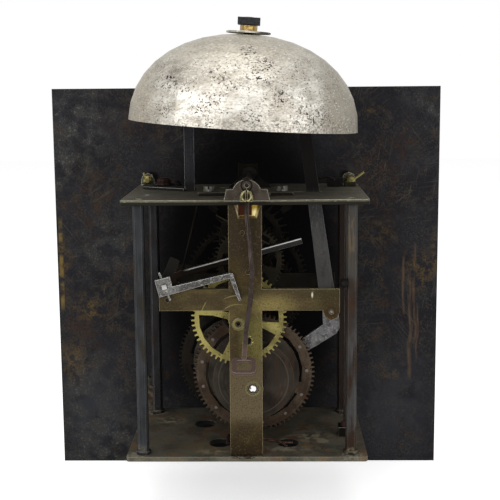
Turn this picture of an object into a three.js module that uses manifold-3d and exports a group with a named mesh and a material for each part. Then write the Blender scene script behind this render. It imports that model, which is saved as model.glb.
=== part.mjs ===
// Movement of a thirty-hour longcase clock with its dial plate, hands and bell.
// Millimetres, +Z up. The origin is the middle of the bottom plate's underside.
// The dial faces -Y. The back bar, the crutch and the pendulum's suspension face +Y.
import * as THREE from 'three';
import { mergeVertices } from 'three/addons/utils/BufferGeometryUtils.js';
import Module from 'manifold-3d';

const wasm = await Module();
wasm.setup();

// Driving dimensions of fits
const seatGap = 0.3; // between pieces that rest on each other
const runGap = 0.3; // between a pivot and its hole, or a wheel and its neighbour
const cutOverrun = 1; // how far a cutting tool runs past the faces it cuts
const joinDepth = 0.05; // how far joined parts of one solid reach into each other
const weldTolerance = 1e-4;

// Driving dimensions of the frame
const plateWidth = 138.8;
const plateDepth = 95.7;
const plateThickness = 2.8;
const plateCornerRadius = 1.6;
const frameHeadroom = 4; // between the escape wheel and the top plate
const pillarSide = 6;
const pillarChamfer = 1.1;
const pillarSideInset = 9.4; // from the plates' ends to the pillars' middles
const pillarRearInset = 6.85;
const pillarFrontInset = 9.85;
const pillarFootRadius = 4.4;
const pillarFootHeight = 1.6;
const pillarTenonRadius = 2.1;
const barThickness = 3;
const barHalfWidth = 9.3;
const barArmHeight = 94.3; // of the arms' middle line
const barArmWidth = 12.4;
const barArmEnd = 4.6; // from the detent arbor to the left arm's end
const barEarWidth = 9.4;
const barBossRadius = 6;
const barTenonHalfWidth = 6;
const backBarRear = 45.5;
const middleBarRear = -5;
const frontBarRear = -38;
const frontBarRise = 13.5; // of the front bar's cock above the top plate
const pocketWidth = 15.2; // of the pocket filed in the back bar's top, along its upper edge
const pocketFloorWidth = 10.6;
const pocketHeight = 7.8;
const pocketDepth = 1.7;
const pocketBevel = 1.3;
const studHoleRadius = 2.2; // of the counting wheel's missing stud
const studHoleDrop = 9.8; // below the second arbor
const studHoleShift = -5.3;
const bushRadius = 3.3;
const bushGroove = 0.35;

// Driving dimensions of the dial
const dialSide = 254;
const dialThickness = 1.8;
const dialX = 1.8;
const dialBack = -69.85;
const dialCentreHeight = 85.2;
const dialFootRadius = 2.9;
const dialFootShankRadius = 1.9;
const dialFootBallLength = 3;
const dialFootFlangeRadius = 3.6;
const dialFootFlangeThickness = 2;
const dialFootPinRadius = 0.7;
const dialFootPinReach = 5.2;
const dialFootPinLean = 28; // degrees
const dialFootLongPinReach = 9.8;
const dialFootLongPinLean = 55; // degrees
const footDomeShares = [0.55, 0.8, 0.2]; // of its radius at both ends, and of its length where it swells
const dialLugThickness = 2.2;
const dialLugWall = 2;
const dialFootX = 64.2;
const dialFootLowerRise = 19; // of the lower feet above the bottom plate
const dialFootEnd = -42.4;
const dialFootLongEnd = -26;
const wedgeBlockWidth = 9.5;
const wedgeBlockDepth = 8;
const wedgeBlockHeight = 5;

// Driving dimensions of the going train
const goingX = 7.3;
const goingZ = 42.7;
const goingGreatTeeth = 80;
const goingGreatModule = 0.9;
const goingSecondPinionLeaves = 8;
const goingSecondTeeth = 60;
const goingSecondModule = 1.1;
const goingSecondLean = -8; // degrees from upright, towards +X
const escapePinionLeaves = 10;
const escapeLean = -4.8;
const escapeTeeth = 30;
const escapeRadius = 24;
const escapeToothHeight = 4.6;
const escapeThickness = 1.4;
const goingGreatFront = -23.8;
const goingSecondFront = -32;
const escapeFront = -25.7;
const secondCrossDegrees = 20;

// Driving dimensions of the striking train
const strikeX = -3.8;
const strikeZ = 42.5;
const strikeGreatTeeth = 78;
const strikeGreatModule = 0.92;
const strikeSecondPinionLeaves = 6;
const strikeSecondLean = 12; // degrees from upright, towards +X
const strikeSecondTeeth = 56;
const strikeSecondModule = 0.96;
const warningPinionLeaves = 7;
const warningLean = -10.9;
const warningTeeth = 48;
const warningModule = 0.84;
const flyPinionLeaves = 6;
const flyLean = 7.6;
const strikeGreatFront = 8;
const strikeSecondFront = 29.2;
const warningFront = 2.2;
const strikeCrossDegrees = 15;
const warningCrossDegrees = 30;
const hammerPinCount = 13;
const hammerPinCircle = 31.8;
const hammerPinRadius = 1.1;
const hammerPinLength = 6.4;
const hammerPinHead = 0.25; // of each pin's riveted end
const hammerPinDegrees = 178.2;
const pinSides = 6;

// Driving dimensions shared by the wheels
const wheelThickness = 2;
const rimWidth = 3.6;
const greatRimWidth = 6.6;
const crossingCount = 4;
const crossingArmWidth = 4;
const crossingFlareShare = 1.9; // of an arm's width at the rim
const wheelHubRadius = 6.5;
const toothAddendumShare = 0.85; // of the module
const toothDedendumShare = 1.2;
const leafAddendumShare = 0.5;
const leafDedendumShare = 1.2;
const toothShares = [[-1, -0.23], [1, -0.12], [1, 0.12], [-1, 0.23]]; // [root or tip, of the tooth pitch]
const leafShares = [[-1, -0.19], [1, -0.12], [1, 0.12], [-1, 0.19]];
const escapeToothShares = [[-1, -0.34], [1, -0.05], [1, 0.02], [-1, 0.08]];
const leafLength = 7;
const pivotRadius = 0.95;
const arborRadius = 1.4;
const greatPivotRadius = 2.4;
const greatArborRadius = 3.4;
const colletRadius = 4.2;
const colletThickness = 1.6;
const endShake = 0.4;
const crossingSteps = 4;
const roundSides = 12;
const smallSides = 8;
const smallRadius = 1.8; // up to which a rod has the fewer sides

// Driving dimensions of the rope sprockets
const sprocketFrontCheekRadius = 27.4;
const sprocketRearCheekRadius = 24;
const sprocketCheekThickness = 2;
const strikeSprocketWidth = 15.4;
const goingSprocketWidth = 11;
const sprocketGap = 1.4; // between a great wheel and its sprocket
const sprocketCoreRadius = 16.4;
const sprocketSpikeCount = 10;
const sprocketSpikeLength = 4;
const sprocketSpikeRadius = 1.3;
const spikeSides = 6;
const spikeSink = 0.6;
const sprocketCollarRadius = 7.3;
const sprocketCollarThickness = 2;
const ropeHoleWidth = 12.7;
const ropeHoleDepth = 15.5;
const ropeRunRadius = 20.2; // from a sprocket's axis to the middle of its rope
const strikeRopeShare = 0.75; // of the sprocket's width, from its front to the hole's middle
const goingRopeShare = 0.6;
const ratchetRadius = 19;
const ratchetTeeth = 12;
const ratchetToothHeight = 2.2;
const ratchetThickness = 1.1;
const ratchetShares = [[-1, -0.45], [1, 0.4], [-1, 0.45]];
const clickCircle = 24.4;
const clickDegrees = 200;
const clickReach = 10.4;
const clickWidth = 2;
const clickBossRadius = 2.6;
const clickThickness = 0.8;
const clickStudRadius = 1;

// Driving dimensions of the locking hoop and the fly
const hoopRadius = 10.4;
const hoopWall = 1.6;
const hoopDepth = 5;
const hoopFront = 15;
const hoopGapDegrees = 46;
const flyReach = 17.3;
const flyFront = 12;
const flyDepth = 21;
const flyThickness = 0.8;
const flyBossRadius = 3.2;
const flyTiltDegrees = 29.5;
const hoopDiscThickness = 1.2;

// Driving dimensions of the pallets, the crutch and the back cock
const palletRise = 8.8; // of the pallet arbor above the top plate
const palletArborRadius = 1.7;
const palletSwingDegrees = 2;
const palletThickness = 3.2;
const palletArmWidth = 4.2;
const palletSpanDegrees = 51; // of each pallet from the line of centres, at the escape wheel
const palletNibWidth = 3;
const palletNibLength = 5;
const palletSlotGap = 0.8;
const crutchBossRadius = 4;
const crutchRear = 52.4;
const crutchThickness = 1.6;
const crutchWidth = 2.7;
const crutchLength = 98.4;
const crutchBowShares = [0, 0.002, -0.015, -0.026, -0.014, 0.011, 0.024];
const crutchLoopWidth = 13.5;
const crutchLoopReach = 15;
const crutchLoopWall = 2.7;
const crutchLoopTiltDegrees = 20;
const cockRear = 55.2;
const cockPlateThickness = 2;
const cockWidth = 25.2;
const cockShoulderWidth = 22.6;
const cockDomeRadius = 8.2;
const cockRise = 11.8; // of the dome's top above the cock's foot
const cockShoulderRise = 6.4;
const cockFootThickness = 1.7;
const cockArmWidth = 5.4;
const cockFootFront = 17.4;
const cockFootDepth = 7.6;
const cockFootReach = 27.4;
const cockScrewX = 21;
const cockScrewRadius = 3.5;
const cockScrewHeight = 3;
const cockScrewSlot = 0.9;
const suspensionWidth = 7;
const suspensionHeight = 6.4;
const suspensionDepth = 5.6;
const suspensionSlit = 0.9;
const suspensionDrop = 5.1; // of the block's middle below the pallet arbor

// Driving dimensions of the hammer and its spring
const hammerX = -48.4;
const hammerDrop = 7.2; // of the hammer's arbor below the bar arms' middle line
const hammerFront = 0.9;
const hammerThickness = 2.7;
const hammerLiftDegrees = 6;
const hammerHeadRise = 5.6; // of the head above the bell's rim
const hammerLean = 15.2; // of the shank's top towards the middle
const hammerRootWidth = 9.6;
const hammerTipWidth = 6.4;
const hammerNeckRadius = 2.2;
const hammerHeadRadius = 5.4;
const hammerHeadLength = 15;
const hammerBellGap = 1.7;
const hammerFaceShare = 0.45; // of the head's radius, taken off round its face
const hammerSlotGap = 0.8;
const hammerTailShortfall = 4.3; // between the tail's length and the way to the pins' circle
const hammerTailShares = [
  [0.13, -0.04], [0.1, -0.62], [0.62, -0.98], [0.44, -1.22], [-0.2, -0.82], [-0.275, -0.7],
  [-0.265, -0.5], [-0.19, -0.04],
];
const hammerArborRadius = 2.4;
const hammerBossWall = 1.5; // round the arbor
const springTailGap = 2.5; // between the hammer's tail and its spring
const springThickness = 1.1;
const springWidth = 4.2;
const springFront = 2.4;
const springHeadroom = 2.3; // below the top plate
const springBlockWidth = 8;
const springBlockHeight = 5.5;
const springScrewRadius = 2.6;
const springScrewHeight = 2.6;

// Driving dimensions of the detents
const detentX = 44.2;
const detentArborRadius = 2.3;
const crankHeight = 23;
const crankShares = [[0, 0], [0.06, 0.42], [-0.2, 1]];
const crankWidth = 5.6;
const crankThickness = 2.4;
const studX = 45.2;
const studRise = 8.3; // of the stud above the detent arbor
const studHalf = 1.45;
const blockWidth = 8.6;
const blockHeight = 9.8;
const blockDepth = 4;
const blockTiltDegrees = 14;
const blockFront = 46;
const studOver = 0.4; // how far a stud stands out past what it carries
const detentArmRootWidth = 4.2;
const detentArmWidth = 2.7;
const detentArmReach = 37.4;
const detentHookDrop = 14.3;
const detentHookTip = 1.4;
const detentHookLean = 4.9;
const detentArmRise = 6.5; // of the arm's bend above the stud
const taperPinLength = 17;
const taperPinRadius = 0.7;
const pinTiltDegrees = 21;
const leverReach = 79;
const leverWidth = 3.4;
const leverThickness = 2.2;
const leverFront = 7;
const leverFootRise = 7.4; // of the lever's foot above the detent arbor
const leverWarningGap = 0.7; // between the lever and the warning arbor that it passes over
const leverHubRadius = 4.6;
const lockingNibWidth = 3;
const lockingArmWidth = 3.4;
const lockingArmThickness = 2;
const lockingFront = 16.2;
const lockingRise = 1.2; // of the locking nib above the hoop
const liftingPinCircle = 8.4;
const liftingPinRadius = 1;
const liftingArmThickness = 1.8;
const liftingArmPast = 6; // past the dial's centre
const strapWidth = 5.6;
const strapThickness = 1.2;
const strapFront = -25.6;
const strapTopX = 30.4;

// Driving dimensions of the bell and its stand
const bellX = 1.6;
const bellY = 0;
const bellRise = 39.3; // of the rim's middle above the top plate
const bellRadius = 67.7;
const bellHeight = 53;
const bellWall = 2.3;
const bellPower = 2.13; // of the curve between a cone, 1, and an ellipse, 2
const bellTiltDegrees = -3.8;
const bellHoleRadius = 3.4;
const bellRings = 9;
const bellSides = 44;
const washerRadius = 13;
const washerThickness = 1.1;
const collarRadius = 5.1;
const collarHeight = 3.3;
const bellNutWidth = 13;
const bellNutHeight = 4.1;
const standStudRadius = 2.6;
const standX = 34.3;
const standY = -6.5;
const standWidth = 6;
const standThickness = 4;
const standBendRadius = 24;
const standFootRadius = 13.5;
const standFootThickness = 1.4;
const standTopWidth = 4.4;
const standShoulderRadius = 5.5;
const standCrownGap = 2.8; // between the stand's end and the bell's crown
const standScrewX = 51.7;
const standScrewY = -25;
const standNutRadius = 6;
const standNutHeight = 4.4;
const standNutShares = [0.2, 0.7, 0.45];

// Driving dimensions of the motion work and the hands
const driveTeeth = 40;
const hourPinionLeaves = 6;
const hourTeeth = 72;
const driveFront = -49.4;
const hourFront = -57.6;
const stemRadius = 2.3;
const cannonRadius = 3.8;
const hourPipeRadius = 5.2;
const handThickness = 1;
const handGap = 1.6; // between the dial and the hour hand, and between the hands
const hourHandLength = 62;
const minuteHandLength = 92;
const handBossRadius = 7.5;
const stemHeadRadius = 4;
const stemHeadThickness = 1.6;
const motionArborRadius = 1.6;
const hourHandDegrees = 145; // from +X towards +Z
const minuteHandDegrees = 30;
const handShares = [[0, 0.045], [0.3, 0.02], [0.55, 0.035], [0.68, 0.07], [0.8, 0.03], [0.86, 0.014]];

// Finishes
const finish = (color, roughness, metalness) => new THREE.MeshStandardMaterial(
  { color, roughness, metalness }
);
const agedBrass = finish(0x6f6540, 0.55, 0.8);
const yellowBrass = finish(0x9a8c46, 0.45, 0.85);
const darkBrass = finish(0x4a4132, 0.6, 0.7);
const brightSteel = finish(0x9a9994, 0.4, 0.9);
const darkIron = finish(0x2f2f33, 0.6, 0.8);
const brownIron = finish(0x4b3a31, 0.65, 0.7);
const paintedIron = finish(0x211f20, 0.6, 0.4);
const bellMetal = finish(0xa5a19a, 0.4, 0.9);
const blackIron = finish(0x151417, 0.55, 0.6);

// Turning a closed geometry into a solid and back
function solidOf(geometry) {
  const bare = geometry.clone();
  bare.deleteAttribute('normal');
  bare.deleteAttribute('uv');
  const merged = mergeVertices(bare, weldTolerance);
  return new wasm.Manifold(new wasm.Mesh({
    numProp: 3,
    vertProperties: new Float32Array(merged.attributes.position.array),
    triVerts: new Uint32Array(merged.index.array),
  }));
}

function geometryOf(solid) {
  const mesh = solid.getMesh();
  const geometry = new THREE.BufferGeometry();
  geometry.setAttribute('position', new THREE.BufferAttribute(mesh.vertProperties, 3));
  geometry.setIndex(new THREE.BufferAttribute(mesh.triVerts, 1));
  geometry.computeVertexNormals();
  return geometry;
}

const join = (solids) => solids.reduce((whole, next) => whole.add(next));
const cut = (solid, tools) => tools.reduce((rest, tool) => rest.subtract(tool), solid);
const radians = THREE.MathUtils.degToRad;
const toDegrees = THREE.MathUtils.radToDeg;
const upright = 90;
const halfTurn = 180;
const fullTurn = 360;

// Outlines, drawn as [across, up] pairs
const shapeOf = (points) => new THREE.Shape(points.map(([x, y]) => new THREE.Vector2(x, y)));

function arcPoints(x, y, radius, fromDegrees, toDegrees, steps) {
  return Array.from({ length: steps + 1 }, (_, step) => {
    const angle = radians(fromDegrees + ((toDegrees - fromDegrees) * step) / steps);
    return [x + radius * Math.cos(angle), y + radius * Math.sin(angle)];
  });
}

const sidesFor = (radius) => (radius > smallRadius ? roundSides : smallSides);
const circlePoints = (x, y, radius, sides = sidesFor(radius)) => (
  arcPoints(x, y, radius, 0, fullTurn, sides).slice(0, sides)
);
const boxPoints = (left, right, low, high) => [[left, low], [right, low], [right, high], [left, high]];

function roundedBoxPoints(left, right, low, high, radius, steps = 3) {
  return [
    ...arcPoints(right - radius, low + radius, radius, -upright, 0, steps),
    ...arcPoints(right - radius, high - radius, radius, 0, upright, steps),
    ...arcPoints(left + radius, high - radius, radius, upright, halfTurn, steps),
    ...arcPoints(left + radius, low + radius, radius, halfTurn, fullTurn - upright, steps),
  ];
}

// A strip of even or changing width along a list of points
function stripPoints(points, widths) {
  const offset = (index, side) => {
    const before = points[Math.max(index - 1, 0)];
    const after = points[Math.min(index + 1, points.length - 1)];
    const along = new THREE.Vector2(after[0] - before[0], after[1] - before[1]).normalize();
    const half = (side * widths[index]) / 2;
    return [points[index][0] - along.y * half, points[index][1] + along.x * half];
  };
  const right = points.map((_, index) => offset(index, -1));
  const left = points.map((_, index) => offset(index, 1));
  return [...right, ...left.reverse()];
}

// Solids that stand upright in X and Z, between a front and a rear place along Y
function wallSolid(shape, front, rear) {
  const geometry = new THREE.ExtrudeGeometry(
    shape, { depth: rear - front, bevelEnabled: false, curveSegments: roundSides },
  );
  geometry.rotateX(Math.PI / 2);
  geometry.translate(0, rear, 0);
  return solidOf(geometry);
}

const wall = (points, front, rear) => wallSolid(shapeOf(points), front, rear);
function rod(radius, front, rear, x = 0, z = 0, sides = sidesFor(radius)) {
  return wall(circlePoints(x, z, radius, sides), front, rear);
}

// Solids that lie flat in X and Y, between a low and a high place along Z
function slab(points, low, high) {
  const geometry = new THREE.ExtrudeGeometry(shapeOf(points), { depth: high - low, bevelEnabled: false });
  geometry.translate(0, 0, low);
  return solidOf(geometry);
}

function post(radius, low, high, x = 0, y = 0, sides = sidesFor(radius)) {
  return slab(circlePoints(x, y, radius, sides), low, high);
}
const box = (left, right, front, rear, low, high) => slab(boxPoints(left, right, front, rear), low, high);

// Solids turned about the Y axis from [radius, place along Y] pairs
function turned(profile, sides = roundSides) {
  return solidOf(new THREE.LatheGeometry(profile.map(([r, y]) => new THREE.Vector2(r, y)), sides));
}

// A closed form between two outlines with as many points, each at its own place along Y
function lofted(frontPoints, front, rearPoints, rear) {
  const count = frontPoints.length;
  const corners = [
    ...frontPoints.map(([x, z]) => [x, front, z]),
    ...rearPoints.map(([x, z]) => [x, rear, z]),
  ];
  const faces = [];
  for (let index = 0; index < count; index += 1) {
    const next = (index + 1) % count;
    faces.push([index, count + next, next], [index, count + index, count + next]);
  }
  const caps = THREE.ShapeUtils.triangulateShape(frontPoints.map(([x, z]) => new THREE.Vector2(x, z)), []);
  caps.forEach(([a, b, c]) => faces.push([a, b, c], [count + a, count + c, count + b]));
  const geometry = new THREE.BufferGeometry();
  geometry.setAttribute('position', new THREE.Float32BufferAttribute(corners.flat(), corners[0].length));
  geometry.setIndex(faces.flat());
  return solidOf(geometry);
}

// A solid moved to another place
const moved = (solid, matrix) => solidOf(geometryOf(solid).applyMatrix4(matrix));
const shift = (x, y, z) => new THREE.Matrix4().makeTranslation(x, y, z);
const turnY = (degrees) => new THREE.Matrix4().makeRotationY(radians(degrees));
const turnX = (degrees) => new THREE.Matrix4().makeRotationX(radians(degrees));
const turnZ = (degrees) => new THREE.Matrix4().makeRotationZ(radians(degrees));

// Places on a circle about the Y axis, in degrees from +X towards +Z
const polar = (radius, degrees) => [radius * Math.cos(radians(degrees)), radius * Math.sin(radians(degrees))];

// Toothed outlines. Each tooth repeats a list of [root or tip, share of the tooth pitch] corners.
function toothedPoints(teeth, root, tip, shares, firstDegrees) {
  const step = fullTurn / teeth;
  return Array.from({ length: teeth }, (_, tooth) => shares.map(([level, share]) => (
    polar(level > 0 ? tip : root, firstDegrees + (tooth + share) * step)
  ))).flat();
}

function wheelOutline(teeth, pitchRadius, meshDegrees) {
  const module = (2 * pitchRadius) / teeth;
  const root = pitchRadius - module * toothDedendumShare;
  const tip = pitchRadius + module * toothAddendumShare;
  return toothedPoints(teeth, root, tip, toothShares, meshDegrees);
}

function leafOutline(leaves, pitchRadius, meshDegrees) {
  const module = (2 * pitchRadius) / leaves;
  const root = pitchRadius - module * leafDedendumShare;
  const tip = pitchRadius + module * leafAddendumShare;
  const halfStep = halfTurn / leaves;
  return toothedPoints(leaves, root, tip, leafShares, meshDegrees + halfTurn + halfStep);
}

// Openings between a wheel's arms, with sides that flare into the rim
function crossingHoles(inner, outer, armWidth, firstDegrees) {
  const sector = fullTurn / crossingCount;
  return Array.from({ length: crossingCount }, (_, index) => {
    const start = firstDegrees + index * sector;
    const spread = (radius, width) => toDegrees(Math.asin(width / 2 / radius));
    const atHub = spread(inner, armWidth);
    const atRim = spread(outer, armWidth * crossingFlareShare);
    const middle = (inner + outer) / 2;
    const atMiddle = spread(middle, armWidth);
    return [
      ...arcPoints(0, 0, inner, start + atHub, start + sector - atHub, 2),
      polar(middle, start + sector - atMiddle),
      ...arcPoints(0, 0, outer, start + sector - atRim, start + atRim, crossingSteps),
      polar(middle, start + atMiddle),
    ];
  });
}

function wheelSolid({
  outline, rim, innerRadius, bore, front,
  thickness = wheelThickness, crossDegrees = 0, armWidth = crossingArmWidth,
}) {
  const shape = shapeOf(outline);
  const openings = crossingHoles(wheelHubRadius, innerRadius - rim, armWidth, crossDegrees);
  shape.holes = [circlePoints(0, 0, bore), ...openings].map(
    (points) => new THREE.Path(shapeOf(points).getPoints())
  );
  return wallSolid(shape, front, front + thickness);
}

// Places of the arbors
function nextPlace([x, z], wheelTeeth, leaves, module, lean) {
  const [across, up] = polar(((wheelTeeth + leaves) * module) / 2, upright - lean);
  return [x + across, z + up];
}

const going = [goingX, goingZ];
const goingSecond = nextPlace(
  going, goingGreatTeeth, goingSecondPinionLeaves, goingGreatModule, goingSecondLean,
);
const escape = nextPlace(goingSecond, goingSecondTeeth, escapePinionLeaves, goingSecondModule, escapeLean);
const strike = [strikeX, strikeZ];
const strikeSecond = nextPlace(
  strike, strikeGreatTeeth, strikeSecondPinionLeaves, strikeGreatModule, strikeSecondLean,
);
const warning = nextPlace(
  strikeSecond, strikeSecondTeeth, warningPinionLeaves, strikeSecondModule, warningLean,
);
const fly = nextPlace(warning, warningTeeth, flyPinionLeaves, warningModule, flyLean);
const dialCentre = [dialX, dialCentreHeight];
const [escapeX, escapeZ] = escape;
const [warningX, warningZ] = warning;
const [flyX, flyZ] = fly;

// Places of the plates and bars
const topLow = escapeZ + escapeRadius + frameHeadroom;
const topHigh = topLow + plateThickness;
const plateHalfWidth = plateWidth / 2;
const plateHalfDepth = plateDepth / 2;
const pillarX = plateHalfWidth - pillarSideInset;
const pillarRearY = plateHalfDepth - pillarRearInset;
const pillarFrontY = -plateHalfDepth + pillarFrontInset;
const backBarFront = backBarRear - barThickness;
const middleBarFront = middleBarRear - barThickness;
const frontBarFront = frontBarRear - barThickness;
const armLow = barArmHeight - barArmWidth / 2;
const armHigh = barArmHeight + barArmWidth / 2;
const detent = [detentX, barArmHeight];
const hammerZ = barArmHeight - hammerDrop;
const hammerPlace = [hammerX, hammerZ];
const pallet = [escapeX, topHigh + palletRise];
const [palletX, palletZ] = pallet;
const strikeGreatRear = strikeGreatFront + wheelThickness;
const strikeSprocketFront = strikeGreatRear + sprocketGap;
const strikeSprocketRear = strikeSprocketFront + strikeSprocketWidth;
const goingGreatRear = goingGreatFront + wheelThickness;
const goingSprocketFront = goingGreatRear + sprocketGap;
const strikeRopeY = strikeSprocketFront + strikeSprocketWidth * strikeRopeShare;
const goingRopeY = goingSprocketFront + goingSprocketWidth * goingRopeShare;
const clickStud = polar(clickCircle, clickDegrees);
const cockLow = topHigh + seatGap;
const cockFront = cockRear - cockPlateThickness;
const dialFront = dialBack - dialThickness;
const standFootLow = topHigh + seatGap;
const bellRimHeight = topHigh + bellRise;
const hammerRise = bellRimHeight + hammerHeadRise - hammerZ;
const wayToStrike = Math.hypot(strikeX - hammerX, strikeZ - hammerZ);
const hammerTailLength = wayToStrike - hammerPinCircle - hammerTailShortfall;
const hammerTailWidest = -Math.min(...hammerTailShares.map(([across]) => across)) * hammerTailLength;
const springX = hammerX - hammerTailWidest - springTailGap - springThickness / 2;
const upperFootZ = topHigh + dialFootRadius + seatGap;
const lowerFootZ = plateThickness + dialFootLowerRise;

// Places of the pallets about their arbor
const palletFront = escapeFront + escapeThickness / 2 - palletThickness / 2;
const palletRear = palletFront + palletThickness;
const nibSwingArm = (palletZ - escapeZ) * Math.cos(radians(palletSpanDegrees));
const nibSwing = 2 * runGap + Math.tan(radians(palletSwingDegrees)) * nibSwingArm;
const nibRadius = escapeRadius + nibSwing;
const [nibAcross, nibRise] = polar(nibRadius, upright - palletSpanDegrees);
const nibDrop = palletZ - escapeZ - nibRise;
const heelAcross = nibAcross + palletNibLength * Math.sin(radians(palletSpanDegrees));
const heelDrop = nibDrop - palletNibLength * Math.cos(radians(palletSpanDegrees));

// Places and sizes of the motion work and the hands
const motionDistance = Math.hypot(dialX - goingX, dialCentreHeight - goingZ);
const motionMesh = toDegrees(Math.atan2(dialCentreHeight - goingZ, dialX - goingX));
const driveRadius = motionDistance / 2;
const hourPinionRadius = (motionDistance * hourPinionLeaves) / (hourPinionLeaves + hourTeeth);
const hourRadius = motionDistance - hourPinionRadius;
const hourHandRear = dialFront - handGap;
const hourHandFront = hourHandRear - handThickness;
const minuteHandRear = hourHandFront - handGap;
const minuteHandFront = minuteHandRear - handThickness;
const stemFront = minuteHandFront - seatGap - stemHeadThickness;

const pieces = new THREE.Group();

function addPiece(name, solid, material, group = pieces) {
  const mesh = new THREE.Mesh(geometryOf(solid), material);
  mesh.name = name;
  group.add(mesh);
}

function arborGroup([x, z]) {
  const group = new THREE.Group();
  group.position.set(x, 0, z);
  pieces.add(group);
  return group;
}

// The plates, their rope holes and the ears that hold the dial's feet
const barTenonHole = (rear, low, high) => box(
  -barTenonHalfWidth - seatGap, barTenonHalfWidth + seatGap, rear - barThickness - seatGap,
  rear + seatGap, low, high,
);
const barRears = [backBarRear, middleBarRear, frontBarRear];
const pillarPlaces = [
  ['pillar_front_left', pillarX, pillarFrontY],
  ['pillar_front_right', -pillarX, pillarFrontY],
  ['pillar_rear_left', pillarX, pillarRearY],
  ['pillar_rear_right', -pillarX, pillarRearY],
];

function ropeHole(x, y) {
  const radius = ropeHoleWidth / 2;
  const reach = ropeHoleDepth / 2 - radius;
  const outline = [
    ...arcPoints(x, y + reach, radius, 0, halfTurn, 2 * crossingSteps),
    ...arcPoints(x, y - reach, radius, halfTurn, fullTurn, 2 * crossingSteps),
  ];
  return slab(outline, -cutOverrun, plateThickness + cutOverrun);
}

const plateOutline = roundedBoxPoints(
  -plateHalfWidth, plateHalfWidth, -plateHalfDepth, plateHalfDepth, plateCornerRadius,
);

function plateSolid(low, high) {
  const holes = pillarPlaces.map(([, x, y]) => (
    post(pillarTenonRadius + seatGap, low - cutOverrun, high + cutOverrun, x, y)
  ));
  const slots = barRears.map((rear) => barTenonHole(rear, low - cutOverrun, high + cutOverrun));
  return cut(slab(plateOutline, low, high), [...holes, ...slots]);
}

function dialLug(x, footZ, plateHigh) {
  const reach = dialFootShankRadius + seatGap + dialLugWall;
  const front = -plateHalfDepth;
  const rear = front + dialLugThickness;
  const lug = wall(
    [
      [x - reach, plateHigh - joinDepth], [x + reach, plateHigh - joinDepth],
      ...arcPoints(x, footZ, reach, 0, halfTurn, crossingSteps),
    ],
    front, rear,
  );
  const bore = rod(dialFootShankRadius + seatGap, front - cutOverrun, rear + cutOverrun, x, footZ);
  return { lug, bore };
}

function plateWithLugs(plate, plateHigh, footZ, footX) {
  const lugs = [dialLug(footX, footZ, plateHigh), dialLug(-footX, footZ, plateHigh)];
  return cut(join([plate, ...lugs.map(({ lug }) => lug)]), lugs.map(({ bore }) => bore));
}

function addPlates() {
  const ropeHoles = [
    ropeHole(strikeX + ropeRunRadius, strikeRopeY),
    ropeHole(strikeX - ropeRunRadius, strikeRopeY),
    ropeHole(goingX + ropeRunRadius, goingRopeY),
    ropeHole(goingX - ropeRunRadius, goingRopeY),
  ];
  const bottom = plateWithLugs(plateSolid(0, plateThickness), plateThickness, lowerFootZ, dialFootX);
  addPiece('bottom_plate', cut(bottom, ropeHoles), darkBrass);

  const shankAtPlate = hammerX + (hammerLean * (topLow - hammerZ)) / hammerRise;
  const shankHalf = hammerRootWidth / 2;
  const liftAtPlate = (topHigh - hammerZ) * Math.tan(radians(hammerLiftDegrees));
  const hammerSlot = box(
    shankAtPlate - shankHalf, shankAtPlate + shankHalf + liftAtPlate,
    hammerFront - hammerSlotGap, hammerFront + hammerThickness + hammerSlotGap, topLow - cutOverrun,
    topHigh + cutOverrun,
  );
  const flyChord = Math.sqrt(
    Math.max((flyReach + 2 * runGap) ** 2 - (topLow - flyZ) ** 2, flyBossRadius ** 2)
  );
  const flySlot = box(
    flyX - flyChord, flyX + flyChord, flyFront - 2 * runGap, flyFront + flyDepth + 2 * runGap,
    topLow - cutOverrun, topHigh + cutOverrun,
  );
  const palletSlotHalf = ((palletZ - topLow) * heelAcross) / heelDrop + palletArmWidth + palletSlotGap;
  const palletSlot = box(
    palletX - palletSlotHalf, palletX + palletSlotHalf,
    palletFront - palletSlotGap, palletRear + palletSlotGap, topLow - cutOverrun, topHigh + cutOverrun,
  );
  const top = plateWithLugs(plateSolid(topLow, topHigh), topHigh, upperFootZ, dialFootX);
  addPiece('top_plate', cut(top, [hammerSlot, flySlot, palletSlot]), agedBrass);
}

// The square pillars, with chamfered edges, round feet and riveted tenons
function addPillars() {
  const half = pillarSide / 2;
  const flat = half - pillarChamfer;
  const section = [
    [flat, -half], [half, -flat], [half, flat], [flat, half], [-flat, half], [-half, flat],
    [-half, -flat], [-flat, -half],
  ];
  const low = plateThickness + seatGap;
  const high = topLow - seatGap;
  pillarPlaces.forEach(([name, x, y]) => {
    const shaft = slab(section.map(([across, along]) => [x + across, y + along]), low, high);
    const foot = post(pillarFootRadius, low, low + pillarFootHeight, x, y);
    const tenon = post(pillarTenonRadius, seatGap, topHigh - seatGap, x, y);
    addPiece(name, join([shaft, foot, tenon]), darkIron);
  });
}

const shoulderOf = (width, inset) => width / 2 - inset;

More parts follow.
